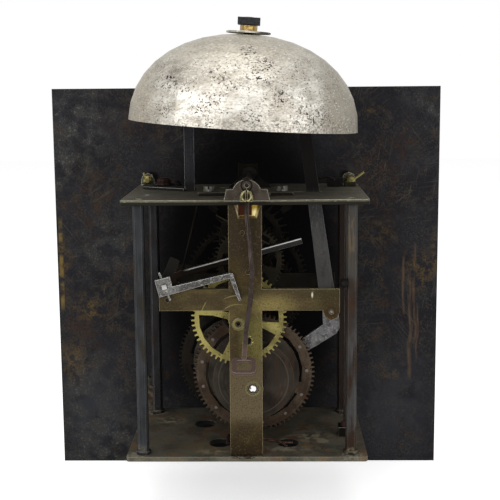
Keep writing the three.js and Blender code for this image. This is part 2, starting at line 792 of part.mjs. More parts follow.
// The three upright bars, with arms that carry the hammer's and the detents' arbors
function barSolid(rear, high, hasRightArm, topTenonHigh, pivots) {
  const front = rear - barThickness;
  const low = plateThickness + seatGap;
  const earHalf = barEarWidth / 2;
  const rightArm = hasRightArm
    ? [
      [-barHalfWidth, armHigh], [hammerX - earHalf, armHigh],
      ...arcPoints(hammerX, hammerZ, earHalf, halfTurn, fullTurn, crossingSteps),
      [hammerX + earHalf, armLow], [-barHalfWidth, armLow],
    ]
    : [];
  const outline = [
    [-barHalfWidth, low], [barHalfWidth, low], [barHalfWidth, armLow], [detentX + barArmEnd, armLow],
    [detentX + barArmEnd, armHigh], [barHalfWidth, armHigh], [barHalfWidth, high],
    [-barHalfWidth, high], ...rightArm,
  ];
  const tenon = box(-barTenonHalfWidth, barTenonHalfWidth, front, rear, seatGap, topTenonHigh);
  const bosses = pivots.filter(([[x], radius]) => Math.abs(x) < barHalfWidth + radius && radius > arborRadius)
    .map(([[x, z]]) => rod(barBossRadius, front, rear, x, z));
  const holes = pivots.map(
    ([[x, z], radius]) => rod(radius + runGap, front - cutOverrun, rear + cutOverrun, x, z)
  );
  return cut(join([wall(outline, front, rear), tenon, ...bosses]), holes);
}

function addBars() {
  const barHigh = topLow - seatGap;
  const tenonHigh = topHigh - seatGap;
  const back = barSolid(backBarRear, barHigh, true, tenonHigh, [
    [strike, greatPivotRadius], [strikeSecond, pivotRadius], [warning, pivotRadius], [fly, pivotRadius],
    [hammerPlace, pivotRadius], [detent, pivotRadius],
  ]);
  const pocketTop = topLow + cutOverrun;
  const pocketLow = topLow - pocketHeight;
  const pocketAt = (inset) => [
    [palletX + shoulderOf(pocketFloorWidth, inset), pocketLow + inset],
    [palletX + shoulderOf(pocketWidth, inset), pocketTop],
    [palletX - shoulderOf(pocketWidth, inset), pocketTop],
    [palletX - shoulderOf(pocketFloorWidth, inset), pocketLow + inset],
  ];
  const pocket = lofted(
    pocketAt(pocketBevel), backBarRear - pocketDepth, pocketAt(0), backBarRear + joinDepth,
  );
  const studHole = rod(
    studHoleRadius, backBarFront - cutOverrun, backBarRear + cutOverrun,
    strikeSecond[0] + studHoleShift, strikeSecond[1] - studHoleDrop,
  );
  const bushGrooves = [[strike, greatPivotRadius], [strikeSecond, pivotRadius]].map(([[x, z], radius]) => cut(
    rod(bushRadius + bushGroove, backBarRear - bushGroove, backBarRear + cutOverrun, x, z),
    [
      rod(
        Math.max(bushRadius, radius + runGap + bushGroove),
        backBarRear - 2 * bushGroove, backBarRear + 2 * cutOverrun, x, z,
      ),
    ],
  ));
  addPiece('back_bar', cut(back, [pocket, studHole, ...bushGrooves]), agedBrass);

  const middle = barSolid(middleBarRear, barHigh, true, tenonHigh, [
    [going, greatPivotRadius], [goingSecond, pivotRadius], [escape, pivotRadius],
    [strike, greatPivotRadius], [strikeSecond, pivotRadius], [warning, pivotRadius], [fly, pivotRadius],
    [hammerPlace, pivotRadius], [detent, detentArborRadius],
  ]);
  addPiece('middle_bar', middle, darkBrass);

  const front = barSolid(frontBarRear, barHigh, false, topHigh + frontBarRise, [
    [going, greatPivotRadius], [goingSecond, pivotRadius], [escape, pivotRadius],
    [pallet, pivotRadius], [detent, detentArborRadius],
  ]);
  const stem = rod(stemRadius, stemFront, frontBarFront + joinDepth, ...dialCentre);
  const stemHead = rod(stemHeadRadius, stemFront, stemFront + stemHeadThickness, ...dialCentre);
  addPiece('front_bar', join([front, stem, stemHead]), darkBrass);
}

// The dial plate and its four feet, each held behind its ear by a cross pin
function addDial() {
  const half = dialSide / 2;
  const shape = shapeOf(
    boxPoints(dialX - half, dialX + half, dialCentreHeight - half, dialCentreHeight + half)
  );
  shape.holes = [
    new THREE.Path(shapeOf(circlePoints(...dialCentre, hourPipeRadius + 2 * runGap)).getPoints())
  ];
  addPiece('dial_plate', wallSolid(shape, dialFront, dialBack), paintedIron);

  const feet = [
    ['dial_foot_upper_left', dialFootX, upperFootZ, dialFootEnd, dialFootPinReach, dialFootPinLean],
    [
      'dial_foot_upper_right', -dialFootX, upperFootZ, dialFootLongEnd,
      dialFootLongPinReach, -dialFootLongPinLean,
    ],
    ['dial_foot_lower_left', dialFootX, lowerFootZ, dialFootEnd, dialFootPinReach, dialFootPinLean],
    ['dial_foot_lower_right', -dialFootX, lowerFootZ, dialFootEnd, dialFootPinReach, -dialFootPinLean],
  ];
  const [domeShare, swellShare, riseShare] = footDomeShares;
  feet.forEach(([name, x, z, end, pinReach, pinLean]) => {
    const start = dialBack + seatGap;
    const ballFront = end - dialFootBallLength;
    const rise = dialFootBallLength * riseShare;
    const foot = turned([
      [0, start], [dialFootFlangeRadius, start], [dialFootFlangeRadius, start + dialFootFlangeThickness],
      [dialFootShankRadius, start + dialFootFlangeThickness], [dialFootShankRadius, ballFront],
      [dialFootRadius * swellShare, ballFront], [dialFootRadius, ballFront + rise],
      [dialFootRadius, end - 2 * rise], [dialFootRadius * swellShare, end - rise],
      [dialFootRadius * domeShare, end], [0, end],
    ]);
    const pin = moved(
      rod(dialFootPinRadius, 0, pinReach, 0, 0),
      shift(x, end - dialFootBallLength / 2, z).multiply(turnY(pinLean)).multiply(turnX(upright)),
    );
    addPiece(name, join([moved(foot, shift(x, 0, z)), pin]), yellowBrass);
  });
  const blockRight = -dialFootX + dialFootRadius + dialLugWall;
  addPiece('wedge_block', box(
    blockRight, blockRight + wedgeBlockWidth, dialFootLongEnd - wedgeBlockDepth, dialFootLongEnd,
    topHigh + seatGap, topHigh + seatGap + wedgeBlockHeight,
  ), blackIron);
}

// An arbor between two bars' faces, with a pinion, collets and a pivot at each end
function arborSolid({ front, rear, radius, pivot, parts }) {
  const low = front + endShake;
  const high = rear - endShake;
  const pivotLength = barThickness - seatGap;
  return join([
    rod(radius, low, high, 0, 0),
    rod(pivot, front - pivotLength, rear + pivotLength, 0, 0),
    ...parts,
  ]);
}

const collet = (front, radius = colletRadius) => rod(radius, front, front + colletThickness, 0, 0);
const leaves = (count, pitchRadius, meshDegrees, middle) => (
  wall(leafOutline(count, pitchRadius, meshDegrees), middle - leafLength / 2, middle + leafLength / 2)
);

// A rope sprocket: two cheeks, a core and spikes that hold the rope
function sprocketSolid(front, width, extra = []) {
  const rear = front + width;
  const bore = greatArborRadius + seatGap;
  const coreFront = front + sprocketCheekThickness;
  const coreRear = rear - sprocketCheekThickness;
  const flare = sprocketCheekThickness / 2;
  const body = turned([
    [bore, front], [sprocketFrontCheekRadius, front], [sprocketFrontCheekRadius, coreFront - flare],
    [sprocketCoreRadius, coreFront + flare], [sprocketCoreRadius, coreRear - flare],
    [sprocketRearCheekRadius, coreRear + flare], [sprocketRearCheekRadius, rear], [bore, rear], [bore, front],
  ], 2 * roundSides);
  const middle = (coreFront + coreRear) / 2;
  const spikeHeight = sprocketSpikeLength + joinDepth;
  const spikes = Array.from({ length: sprocketSpikeCount }, (_, index) => {
    const cone = new THREE.CylinderGeometry(
      sprocketSpikeRadius / 2, sprocketSpikeRadius, spikeHeight, spikeSides,
    );
    cone.translate(0, sprocketCoreRadius - spikeSink + spikeHeight / 2, 0);
    cone.rotateX(upright * (Math.PI / halfTurn));
    cone.rotateY((2 * Math.PI * index) / sprocketSpikeCount);
    cone.translate(0, middle, 0);
    return solidOf(cone);
  });
  return join([body, ...spikes, ...extra]);
}

// The going train, from the great wheel to the escape wheel
function addGoingTrain() {
  const great = arborGroup(going);
  const greatRadius = (goingGreatTeeth * goingGreatModule) / 2;
  const secondMesh = upright - goingSecondLean;
  const escapeMesh = upright - escapeLean;
  addPiece('going_great_wheel', wheelSolid({
    outline: wheelOutline(goingGreatTeeth, greatRadius, secondMesh), rim: greatRimWidth,
    innerRadius: greatRadius,
    bore: greatArborRadius + seatGap, front: goingGreatFront,
  }), darkBrass, great);
  addPiece('going_sprocket', sprocketSolid(goingSprocketFront, goingSprocketWidth), brownIron, great);
  const pinionMiddle = hourFront + wheelThickness / 2;
  addPiece('going_great_arbor', arborSolid({
    front: frontBarRear, rear: middleBarFront, radius: greatArborRadius, pivot: greatPivotRadius,
    parts: [
      collet(goingGreatFront - seatGap - colletThickness, wheelHubRadius),
      rod(motionArborRadius, pinionMiddle - leafLength / 2, frontBarRear, 0, 0),
      leaves(hourPinionLeaves, hourPinionRadius, motionMesh, pinionMiddle),
    ],
  }), brightSteel, great);
  addPiece('motion_drive_wheel', wheelSolid({
    outline: wheelOutline(driveTeeth, driveRadius, motionMesh), rim: rimWidth, innerRadius: driveRadius,
    bore: motionArborRadius + seatGap, front: driveFront,
  }), yellowBrass, great);

  const second = arborGroup(goingSecond);
  const secondRadius = (goingSecondTeeth * goingSecondModule) / 2;
  const secondLeafRadius = (goingSecondPinionLeaves * goingGreatModule) / 2;
  addPiece('going_second_wheel', wheelSolid({
    outline: wheelOutline(goingSecondTeeth, secondRadius, escapeMesh), rim: rimWidth,
    innerRadius: secondRadius,
    bore: arborRadius + seatGap, front: goingSecondFront, crossDegrees: secondCrossDegrees,
  }), agedBrass, second);
  addPiece('going_second_arbor', arborSolid({
    front: frontBarRear, rear: middleBarFront, radius: arborRadius, pivot: pivotRadius,
    parts: [
      collet(goingSecondFront + wheelThickness + seatGap),
      leaves(goingSecondPinionLeaves, secondLeafRadius, secondMesh, goingGreatFront + wheelThickness / 2),
    ],
  }), brightSteel, second);

  const third = arborGroup(escape);
  const escapeLeafRadius = (escapePinionLeaves * goingSecondModule) / 2;
  addPiece('escape_wheel', wheelSolid({
    outline: toothedPoints(
      escapeTeeth, escapeRadius - escapeToothHeight, escapeRadius, escapeToothShares, upright,
    ),
    rim: rimWidth, innerRadius: escapeRadius - escapeToothHeight, bore: arborRadius + seatGap,
    front: escapeFront, thickness: escapeThickness,
  }), agedBrass, third);
  addPiece('escape_arbor', arborSolid({
    front: frontBarRear, rear: middleBarFront, radius: arborRadius, pivot: pivotRadius,
    parts: [
      collet(escapeFront + escapeThickness + seatGap),
      leaves(escapePinionLeaves, escapeLeafRadius, escapeMesh, goingSecondFront + wheelThickness / 2),
    ],
  }), brightSteel, third);
}

// The anchor on its arbor above the top plate, with the crutch behind the back bar
function addPallets() {
  const group = arborGroup(pallet);
  addPiece('pallet_arbor', join([
    rod(palletArborRadius, frontBarRear + endShake, cockFront - endShake, 0, 0),
    rod(pivotRadius, frontBarFront + seatGap, cockRear - seatGap, 0, 0),
    rod(colletRadius, palletRear + seatGap, palletRear + seatGap + colletThickness, 0, 0),
    rod(
      crutchBossRadius, crutchRear - crutchThickness - seatGap - colletThickness,
      crutchRear - crutchThickness - seatGap, 0, 0,
    ),
  ]), brightSteel, group);

  const side = (sign) => {
    const tip = [sign * nibAcross, -nibDrop];
    const heel = [sign * heelAcross, -heelDrop];
    return join([
      wall(stripPoints([[0, 0], heel], [palletArmWidth, palletArmWidth]), palletFront, palletRear),
      wall(stripPoints([heel, tip], [palletArmWidth, palletNibWidth]), palletFront, palletRear),
      rod(palletArmWidth / 2, palletFront, palletRear, ...heel),
    ]);
  };
  const hub = rod(colletRadius, palletFront, palletRear, 0, 0);
  const bore = rod(palletArborRadius + seatGap, palletFront - cutOverrun, palletRear + cutOverrun, 0, 0);
  addPiece('anchor', cut(join([hub, side(1), side(-1)]), [bore]), brightSteel, group);

  const steps = crutchBowShares.length - 1;
  const line = crutchBowShares.map((share, index) => [share * crutchLength, -(index / steps) * crutchLength]);
  const front = crutchRear - crutchThickness;
  const strip = wall(stripPoints(line, line.map(() => crutchWidth)), front, crutchRear);
  const boss = rod(crutchBossRadius, front, crutchRear, 0, 0);
  const arborBore = rod(palletArborRadius + seatGap, front - cutOverrun, crutchRear + cutOverrun, 0, 0);
  const loopHalf = crutchLoopWidth / 2;
  const openHalf = loopHalf - crutchLoopWall;
  const loopFlat = cut(
    slab(roundedBoxPoints(-loopHalf, loopHalf, 0, crutchLoopReach, crutchLoopWall), -crutchThickness, 0),
    [slab(
      roundedBoxPoints(
        -openHalf, openHalf, crutchLoopWall, crutchLoopReach - crutchLoopWall, crutchLoopWall / 2,
      ),
      -crutchThickness - cutOverrun, cutOverrun,
    )],
  );
  const foot = line[steps];
  const loop = moved(
    loopFlat,
    shift(foot[0], front, foot[1] + crutchThickness / 2).multiply(turnX(-crutchLoopTiltDegrees)),
  );
  addPiece('crutch', join([cut(join([strip, boss]), [arborBore]), loop]), brownIron, group);
}

// The cock behind the movement, which carries the pallet arbor and the pendulum's suspension
function addCock() {
  const low = cockLow;
  const half = cockWidth / 2;
  const shoulderHalf = cockShoulderWidth / 2;
  const shoulder = low + cockShoulderRise;
  const domeZ = low + cockRise - cockDomeRadius;
  const start = toDegrees(Math.asin((shoulder - domeZ) / cockDomeRadius));
  const face = [
    [palletX - half, low], [palletX + half, low], [palletX + shoulderHalf, shoulder],
    ...arcPoints(palletX, domeZ, cockDomeRadius, start, halfTurn - start, 2 * crossingSteps),
    [palletX - shoulderHalf, shoulder],
  ];
  const plate = cut(wall(face, cockFront, cockRear), [
    rod(pivotRadius + runGap, cockFront - cutOverrun, cockRear + cutOverrun, ...pallet),
  ]);
  const footHigh = low + cockFootThickness;
  const arms = [1, -1].map((sign) => {
    const outer = palletX + sign * half;
    const inner = outer - sign * cockArmWidth;
    const end = sign * cockFootReach;
    const arm = box(
      Math.min(outer, inner), Math.max(outer, inner), cockFootFront, cockFront + joinDepth, low,
      footHigh,
    );
    const foot = box(
      Math.min(inner, end), Math.max(inner, end), cockFootFront, cockFootFront + cockFootDepth, low,
      footHigh,
    );
    return join([arm, foot]);
  });
  addPiece('back_cock', join([plate, ...arms]), brownIron);

  const screwY = cockFootFront + cockFootDepth / 2;
  [['cock_screw_left', cockScrewX], ['cock_screw_right', -cockScrewX]].forEach(([name, x]) => {
    const base = footHigh + seatGap;
    const head = post(cockScrewRadius, base, base + cockScrewHeight, x, screwY);
    const slotLow = base + cockScrewHeight / 2;
    const slot = box(
      x - cockScrewSlot / 2, x + cockScrewSlot / 2, screwY - cockScrewRadius - cutOverrun,
      screwY + cockScrewRadius + cutOverrun, slotLow, base + cockScrewHeight + cutOverrun,
    );
    addPiece(name, cut(head, [slot]), brightSteel);
  });

  const blockHalf = suspensionWidth / 2;
  const blockZ = palletZ - suspensionDrop;
  const blockFront = cockRear + seatGap;
  const blockRear = blockFront + suspensionDepth;
  const outline = [
    [palletX - blockHalf, blockZ - suspensionHeight / 2],
    [palletX + blockHalf, blockZ - suspensionHeight / 2],
    ...arcPoints(palletX, blockZ + suspensionHeight / 2 - blockHalf, blockHalf, 0, halfTurn, crossingSteps),
  ];
  const slit = box(
    palletX - suspensionSlit / 2, palletX + suspensionSlit / 2, blockFront + suspensionDepth / 2,
    blockRear + cutOverrun,
    blockZ - suspensionHeight, blockZ + suspensionHeight,
  );
  addPiece('suspension_block', cut(wall(outline, blockFront, blockRear), [slit]), yellowBrass);
}

// The striking train, from the great wheel to the fly
function strikeGreatParts() {
  const great = arborGroup(strike);
  const radius = (strikeGreatTeeth * strikeGreatModule) / 2;
  const mesh = upright - strikeSecondLean;
  const plain = wheelSolid({
    outline: wheelOutline(strikeGreatTeeth, radius, mesh), rim: greatRimWidth, innerRadius: radius,
    bore: greatArborRadius + seatGap, front: strikeGreatFront, crossDegrees: clickDegrees,
  });
  const pins = Array.from({ length: hammerPinCount }, (_, index) => {
    const [x, z] = polar(hammerPinCircle, hammerPinDegrees + (fullTurn * index) / hammerPinCount);
    return rod(
      hammerPinRadius, strikeGreatFront - hammerPinLength, strikeGreatRear + hammerPinHead, x, z,
      pinSides,
    );
  });
  const stud = rod(clickStudRadius, strikeGreatFront, strikeSprocketFront - runGap, ...clickStud, pinSides);
  addPiece('strike_great_wheel', join([plain, ...pins, stud]), darkBrass, great);
  const collarFront = strikeSprocketRear + seatGap;
  addPiece('strike_great_arbor', arborSolid({
    front: middleBarRear, rear: backBarFront, radius: greatArborRadius, pivot: greatPivotRadius,
    parts: [
      collet(strikeGreatFront - seatGap - colletThickness, wheelHubRadius),
      rod(sprocketCollarRadius, collarFront, collarFront + sprocketCollarThickness),
    ],
  }), brightSteel, great);

  const ratchetFront = strikeSprocketFront - ratchetThickness;
  const root = ratchetRadius - ratchetToothHeight;
  const ratchetShape = shapeOf(toothedPoints(ratchetTeeth, root, ratchetRadius, ratchetShares, 0));
  ratchetShape.holes = [new THREE.Path(shapeOf(circlePoints(0, 0, root - ratchetToothHeight)).getPoints())];
  const ratchet = wallSolid(ratchetShape, ratchetFront, strikeSprocketFront + joinDepth);
  addPiece(
    'strike_sprocket', sprocketSolid(strikeSprocketFront, strikeSprocketWidth, [ratchet]), brownIron,
    great,
  );

  const tipCircle = ratchetRadius + clickWidth / 2 + runGap;
  const spread = Math.acos(
    (clickCircle ** 2 + tipCircle ** 2 - clickReach ** 2) / (2 * clickCircle * tipCircle)
  );
  const tip = polar(tipCircle, clickDegrees + toDegrees(spread));
  const clickFront = strikeGreatRear + (sprocketGap - clickThickness) / 2;
  const clickRear = clickFront + clickThickness;
  addPiece('strike_click', cut(join([
    rod(clickBossRadius, clickFront, clickRear, ...clickStud),
    wall(stripPoints([clickStud, tip], [clickBossRadius, clickWidth]), clickFront, clickRear),
  ]), [
    rod(clickStudRadius + runGap, clickFront - cutOverrun, clickRear + cutOverrun, ...clickStud),
  ]), brightSteel, great);
}

function strikeSecondParts() {
  const second = arborGroup(strikeSecond);
  const radius = (strikeSecondTeeth * strikeSecondModule) / 2;
  const leafRadius = (strikeSecondPinionLeaves * strikeGreatModule) / 2;
  const pinionMiddle = strikeGreatFront + wheelThickness / 2;
  addPiece('strike_second_wheel', wheelSolid({
    outline: wheelOutline(strikeSecondTeeth, radius, upright - warningLean), rim: rimWidth,
    innerRadius: radius,
    bore: arborRadius + seatGap, front: strikeSecondFront, crossDegrees: strikeCrossDegrees,
  }), yellowBrass, second);
  addPiece('strike_second_arbor', arborSolid({
    front: middleBarRear, rear: backBarFront, radius: arborRadius, pivot: pivotRadius,
    parts: [
      collet(strikeSecondFront - seatGap - colletThickness),
      collet(hoopFront - seatGap - colletThickness),
      leaves(strikeSecondPinionLeaves, leafRadius, upright - strikeSecondLean, pinionMiddle),
    ],
  }), brightSteel, second);

  const rear = hoopFront + hoopDepth;
  const inner = hoopRadius - hoopWall;
  const bore = arborRadius + seatGap;
  const floor = hoopFront + hoopDiscThickness;
  const cup = turned([
    [bore, hoopFront], [hoopRadius, hoopFront], [hoopRadius, rear], [inner, rear], [inner, floor],
    [bore, floor], [bore, hoopFront],
  ], 2 * roundSides);
  const half = hoopGapDegrees / 2;
  const wedge = wall(
    [[0, 0], polar(2 * hoopRadius, upright - half), polar(2 * hoopRadius, upright + half)],
    floor, rear + cutOverrun,
  );
  addPiece('locking_hoop', cut(cup, [wedge]), brownIron, second);
}

function addStrikingTrain() {
  strikeGreatParts();
  strikeSecondParts();

  const third = arborGroup(warning);
  const warningRadius = (warningTeeth * warningModule) / 2;
  const warningLeafRadius = (warningPinionLeaves * strikeSecondModule) / 2;
  const warningMesh = upright - warningLean;
  addPiece('warning_wheel', wheelSolid({
    outline: wheelOutline(warningTeeth, warningRadius, upright - flyLean), rim: rimWidth,
    innerRadius: warningRadius,
    bore: arborRadius + seatGap, front: warningFront, crossDegrees: warningCrossDegrees,
  }), agedBrass, third);
  addPiece('warning_arbor', arborSolid({
    front: middleBarRear, rear: backBarFront, radius: arborRadius, pivot: pivotRadius,
    parts: [
      collet(warningFront + wheelThickness + seatGap),
      leaves(warningPinionLeaves, warningLeafRadius, warningMesh, strikeSecondFront + wheelThickness / 2),
    ],
  }), brightSteel, third);

  const last = arborGroup(fly);
  const flyLeafRadius = (flyPinionLeaves * warningModule) / 2;
  addPiece('fly_arbor', arborSolid({
    front: middleBarRear, rear: backBarFront, radius: arborRadius, pivot: pivotRadius,
    parts: [leaves(flyPinionLeaves, flyLeafRadius, upright - flyLean, warningFront + wheelThickness / 2)],
  }), brightSteel, last);
  const flyRear = flyFront + flyDepth;
  const blade = [polar(flyReach, flyTiltDegrees + halfTurn), polar(flyReach, flyTiltDegrees)];
  addPiece('fly_vane', cut(join([
    wall(stripPoints(blade, [flyThickness, flyThickness]), flyFront, flyRear),
    rod(flyBossRadius, flyFront, flyRear),
  ]), [rod(arborRadius + seatGap, flyFront - cutOverrun, flyRear + cutOverrun)]), yellowBrass, last);
}

// The bell's shape: a curve between a cone and an ellipse
const bellTilt = radians(bellTiltDegrees);
const bellFrame = shift(bellX, bellY, bellRimHeight).multiply(turnY(bellTiltDegrees));
const bellAxisSolid = (profile, sides) => moved(moved(turned(profile, sides), turnX(upright)), bellFrame);

function bellReachAt(height, shrink) {
  const share = Math.min(height / (bellHeight - shrink), 1);
  return (bellRadius - shrink) * (1 - share ** bellPower) ** (1 / bellPower);
}

function bellHeightAt(radius, shrink) {
  const share = Math.min(radius / (bellRadius - shrink), 1);
  return (bellHeight - shrink) * (1 - share ** bellPower) ** (1 / bellPower);
}

function bellCurve(shrink) {
  const reach = bellRadius - shrink;
  const last = Math.acos((bellHoleRadius / reach) ** (bellPower / 2));
  return Array.from({ length: bellRings + 1 }, (_, ring) => {
    const angle = (last * ring) / bellRings;
    return [
      reach * Math.cos(angle) ** (2 / bellPower),
      (bellHeight - shrink) * Math.sin(angle) ** (2 / bellPower),
    ];
  });
}

// The outline of a ring's section, from its bore outwards
const ring = (inner, outer, low, high) => [
  [inner, low], [outer, low], [outer, high], [inner, high], [inner, low],
];

function addBell() {
  const outer = bellCurve(0);
  const inner = bellCurve(bellWall);
  addPiece('bell', bellAxisSolid([inner[0], ...outer, ...inner.reverse()], bellSides), bellMetal);

  const washerLow = bellHeight + seatGap;
  const washerHigh = washerLow + washerThickness;
  const bore = standStudRadius + seatGap;
  addPiece(
    'bell_washer', bellAxisSolid(ring(bore, washerRadius, washerLow, washerHigh), roundSides),
    brightSteel,
  );
  const collarLow = washerHigh + seatGap;
  const collarHigh = collarLow + collarHeight;
  addPiece(
    'bell_collar', bellAxisSolid(ring(bore, collarRadius, collarLow, collarHigh), roundSides),
    yellowBrass,
  );
  const nutLow = collarHigh + seatGap;
  const nutHalf = bellNutWidth / 2;
  const nutHigh = nutLow + bellNutHeight;
  const nutOutline = roundedBoxPoints(-nutHalf, nutHalf, -nutHalf, nutHalf, seatGap);
  const nut = cut(slab(nutOutline, nutLow, nutHigh), [post(bore, nutLow - cutOverrun, nutHigh + cutOverrun)]);
  addPiece('bell_nut', moved(nut, bellFrame), brownIron);

  const crownHeight = (bellHeight - bellWall) * Math.cos(bellTilt);
  const standTop = bellRimHeight + crownHeight - standCrownGap;
  const lineTop = standTop - standTopWidth / 2;
  const bendZ = lineTop - standBendRadius;
  const bendX = standX - standBendRadius;
  const endX = bellX + (lineTop - bellRimHeight) * Math.tan(bellTilt);
  const bend = arcPoints(bendX, bendZ, standBendRadius, 0, upright, crossingSteps);
  const line = [
    [standX, standFootLow], [standX, (standFootLow + bendZ) / 2], ...bend,
    [endX - standTopWidth, lineTop],
  ];
  const widths = line.map((_, index) => (
    standWidth + (standTopWidth - standWidth) * Math.max(0, (index - 1) / (line.length - 2))
  ));
  const strapFrontY = standY - standThickness / 2;
  const strap = wall(stripPoints(line, widths), strapFrontY, strapFrontY + standThickness);
  const head = moved(
    post(standShoulderRadius, -standTopWidth / 2, standTopWidth / 2), shift(endX, 0, lineTop),
  );
  const reachAlong = stripPoints([[bendX, standY], [endX, 0]], [standThickness, standThickness]);
  const bridge = slab(reachAlong, lineTop - standTopWidth / 2, lineTop + standTopWidth / 2);
  const studLow = (lineTop - bellRimHeight) / Math.cos(bellTilt);
  const studHigh = nutHigh + studOver;
  const stud = moved(post(standStudRadius, studLow, studHigh), bellFrame);
  const shoulderHigh = bellHeightAt(standShoulderRadius, bellWall) - 2 * seatGap;
  const shoulder = moved(post(standShoulderRadius, studLow, shoulderHigh), bellFrame);
  const footHigh = standFootLow + standFootThickness;
  const foot = post(standFootRadius, standFootLow, footHigh, standScrewX, standScrewY, 2 * roundSides);
  const web = slab(stripPoints(
    [[standScrewX, standScrewY], [standX, standY]], [2 * standFootRadius, standWidth + standThickness],
  ), standFootLow, footHigh);
  addPiece('bell_stand', join([strap, bridge, head, stud, shoulder, foot, web]), brownIron);

  const nutFoot = footHigh + seatGap;
  const dome = moved(turned([
    [standStudRadius / 2, 0], [standNutRadius, 0], [standNutRadius, standNutHeight * standNutShares[0]],
    [standNutRadius * standNutShares[1], standNutHeight * standNutShares[0]],
    [standNutRadius * standNutShares[1], standNutHeight * standNutShares[1]],
    [standNutRadius * standNutShares[2], standNutHeight], [standStudRadius / 2, standNutHeight],
    [standStudRadius / 2, 0],
  ]), shift(standScrewX, standScrewY, nutFoot).multiply(turnX(upright)));
  const slot = box(
    standScrewX - standNutRadius, standScrewX + standNutRadius, standScrewY - cockScrewSlot / 2,
    standScrewY + cockScrewSlot / 2,
    nutFoot + standNutHeight * standNutShares[1], nutFoot + standNutHeight + cutOverrun,
  );
  addPiece('bell_stand_screw', cut(dome, [slot]), brownIron);
}

// The hammer on its arbor, with its tail beside the great wheel's pins, and its spring
function addHammer() {
  const group = arborGroup(hammerPlace);
  const front = hammerFront;
  const rear = front + hammerThickness;
  const rootHalf = hammerRootWidth / 2;
  const tipHalf = hammerTipWidth / 2;
  const tail = hammerTailShares.map(([across, up]) => [across * hammerTailLength, up * hammerTailLength]);
  const outline = [
    [rootHalf, 0], ...tail, [-rootHalf, 0], [hammerLean - tipHalf, hammerRise + hammerNeckRadius],
    [hammerLean + tipHalf, hammerRise + hammerNeckRadius],
  ];
  const pinPath = rod(
    hammerPinCircle + hammerPinRadius + runGap, front - cutOverrun, rear + cutOverrun,
    strikeX - hammerX, strikeZ - hammerZ, 4 * roundSides,
  );
  const bore = rod(hammerArborRadius + seatGap, front - cutOverrun, rear + cutOverrun);
  const boss = rod(hammerArborRadius + seatGap + hammerBossWall, front, rear);
  const blade = cut(join([wall(outline, front, rear), boss]), [pinPath, bore]);

  const level = (hammerHeadRise - Math.sin(bellTilt) * bellRadius) / Math.cos(bellTilt);
  const wallX = bellX - bellReachAt(level, bellWall) * Math.cos(bellTilt) + level * Math.sin(bellTilt);
  const faceX = wallX + hammerBellGap - hammerX;
  const reach = hammerLean - faceX;
  const neckEnd = reach - hammerHeadLength;
  const head = moved(turned([
    [0, 0], [hammerNeckRadius, 0], [hammerNeckRadius, neckEnd],
    [hammerHeadRadius, neckEnd + hammerNeckRadius],
    [hammerHeadRadius, reach - hammerHeadRadius * hammerFaceShare],
    [hammerHeadRadius * (1 - hammerFaceShare), reach],
    [0, reach],
  ]), shift(hammerLean, front + hammerThickness / 2, hammerRise).multiply(turnZ(upright)));
  addPiece('hammer', join([blade, head]), brightSteel, group);

  addPiece('hammer_arbor', arborSolid({
    front: middleBarRear, rear: backBarFront, radius: hammerArborRadius, pivot: pivotRadius,
    parts: [collet(rear + seatGap), collet(front - seatGap - colletThickness)],
  }), brownIron, group);

  const half = springBlockWidth / 2;
  const blockLow = plateThickness + seatGap;
  const blockHigh = blockLow + springBlockHeight;
  const springRear = springFront + springWidth;
  const blockRear = springRear + 2 * springScrewRadius + 2 * seatGap;
  const strip = box(
    springX - springThickness / 2, springX + springThickness / 2, springFront, springRear, blockLow,
    topLow - springHeadroom,
  );
  addPiece('hammer_spring', join([
    strip, box(springX - half, springX + half, springFront, blockRear, blockLow, blockHigh),
  ]), brightSteel);
  const screwBase = blockHigh + seatGap;
  addPiece('hammer_spring_screw', post(
    springScrewRadius, screwBase, screwBase + springScrewHeight, springX,
    blockRear - springScrewRadius - seatGap,
  ), brownIron);
}

// The rise in degrees of a lever that runs to the left and passes over a round thing's middle at a distance
const riseOver = (left, up, distance) => toDegrees(
  Math.atan2(up, left) + Math.asin(distance / Math.hypot(left, up))
);

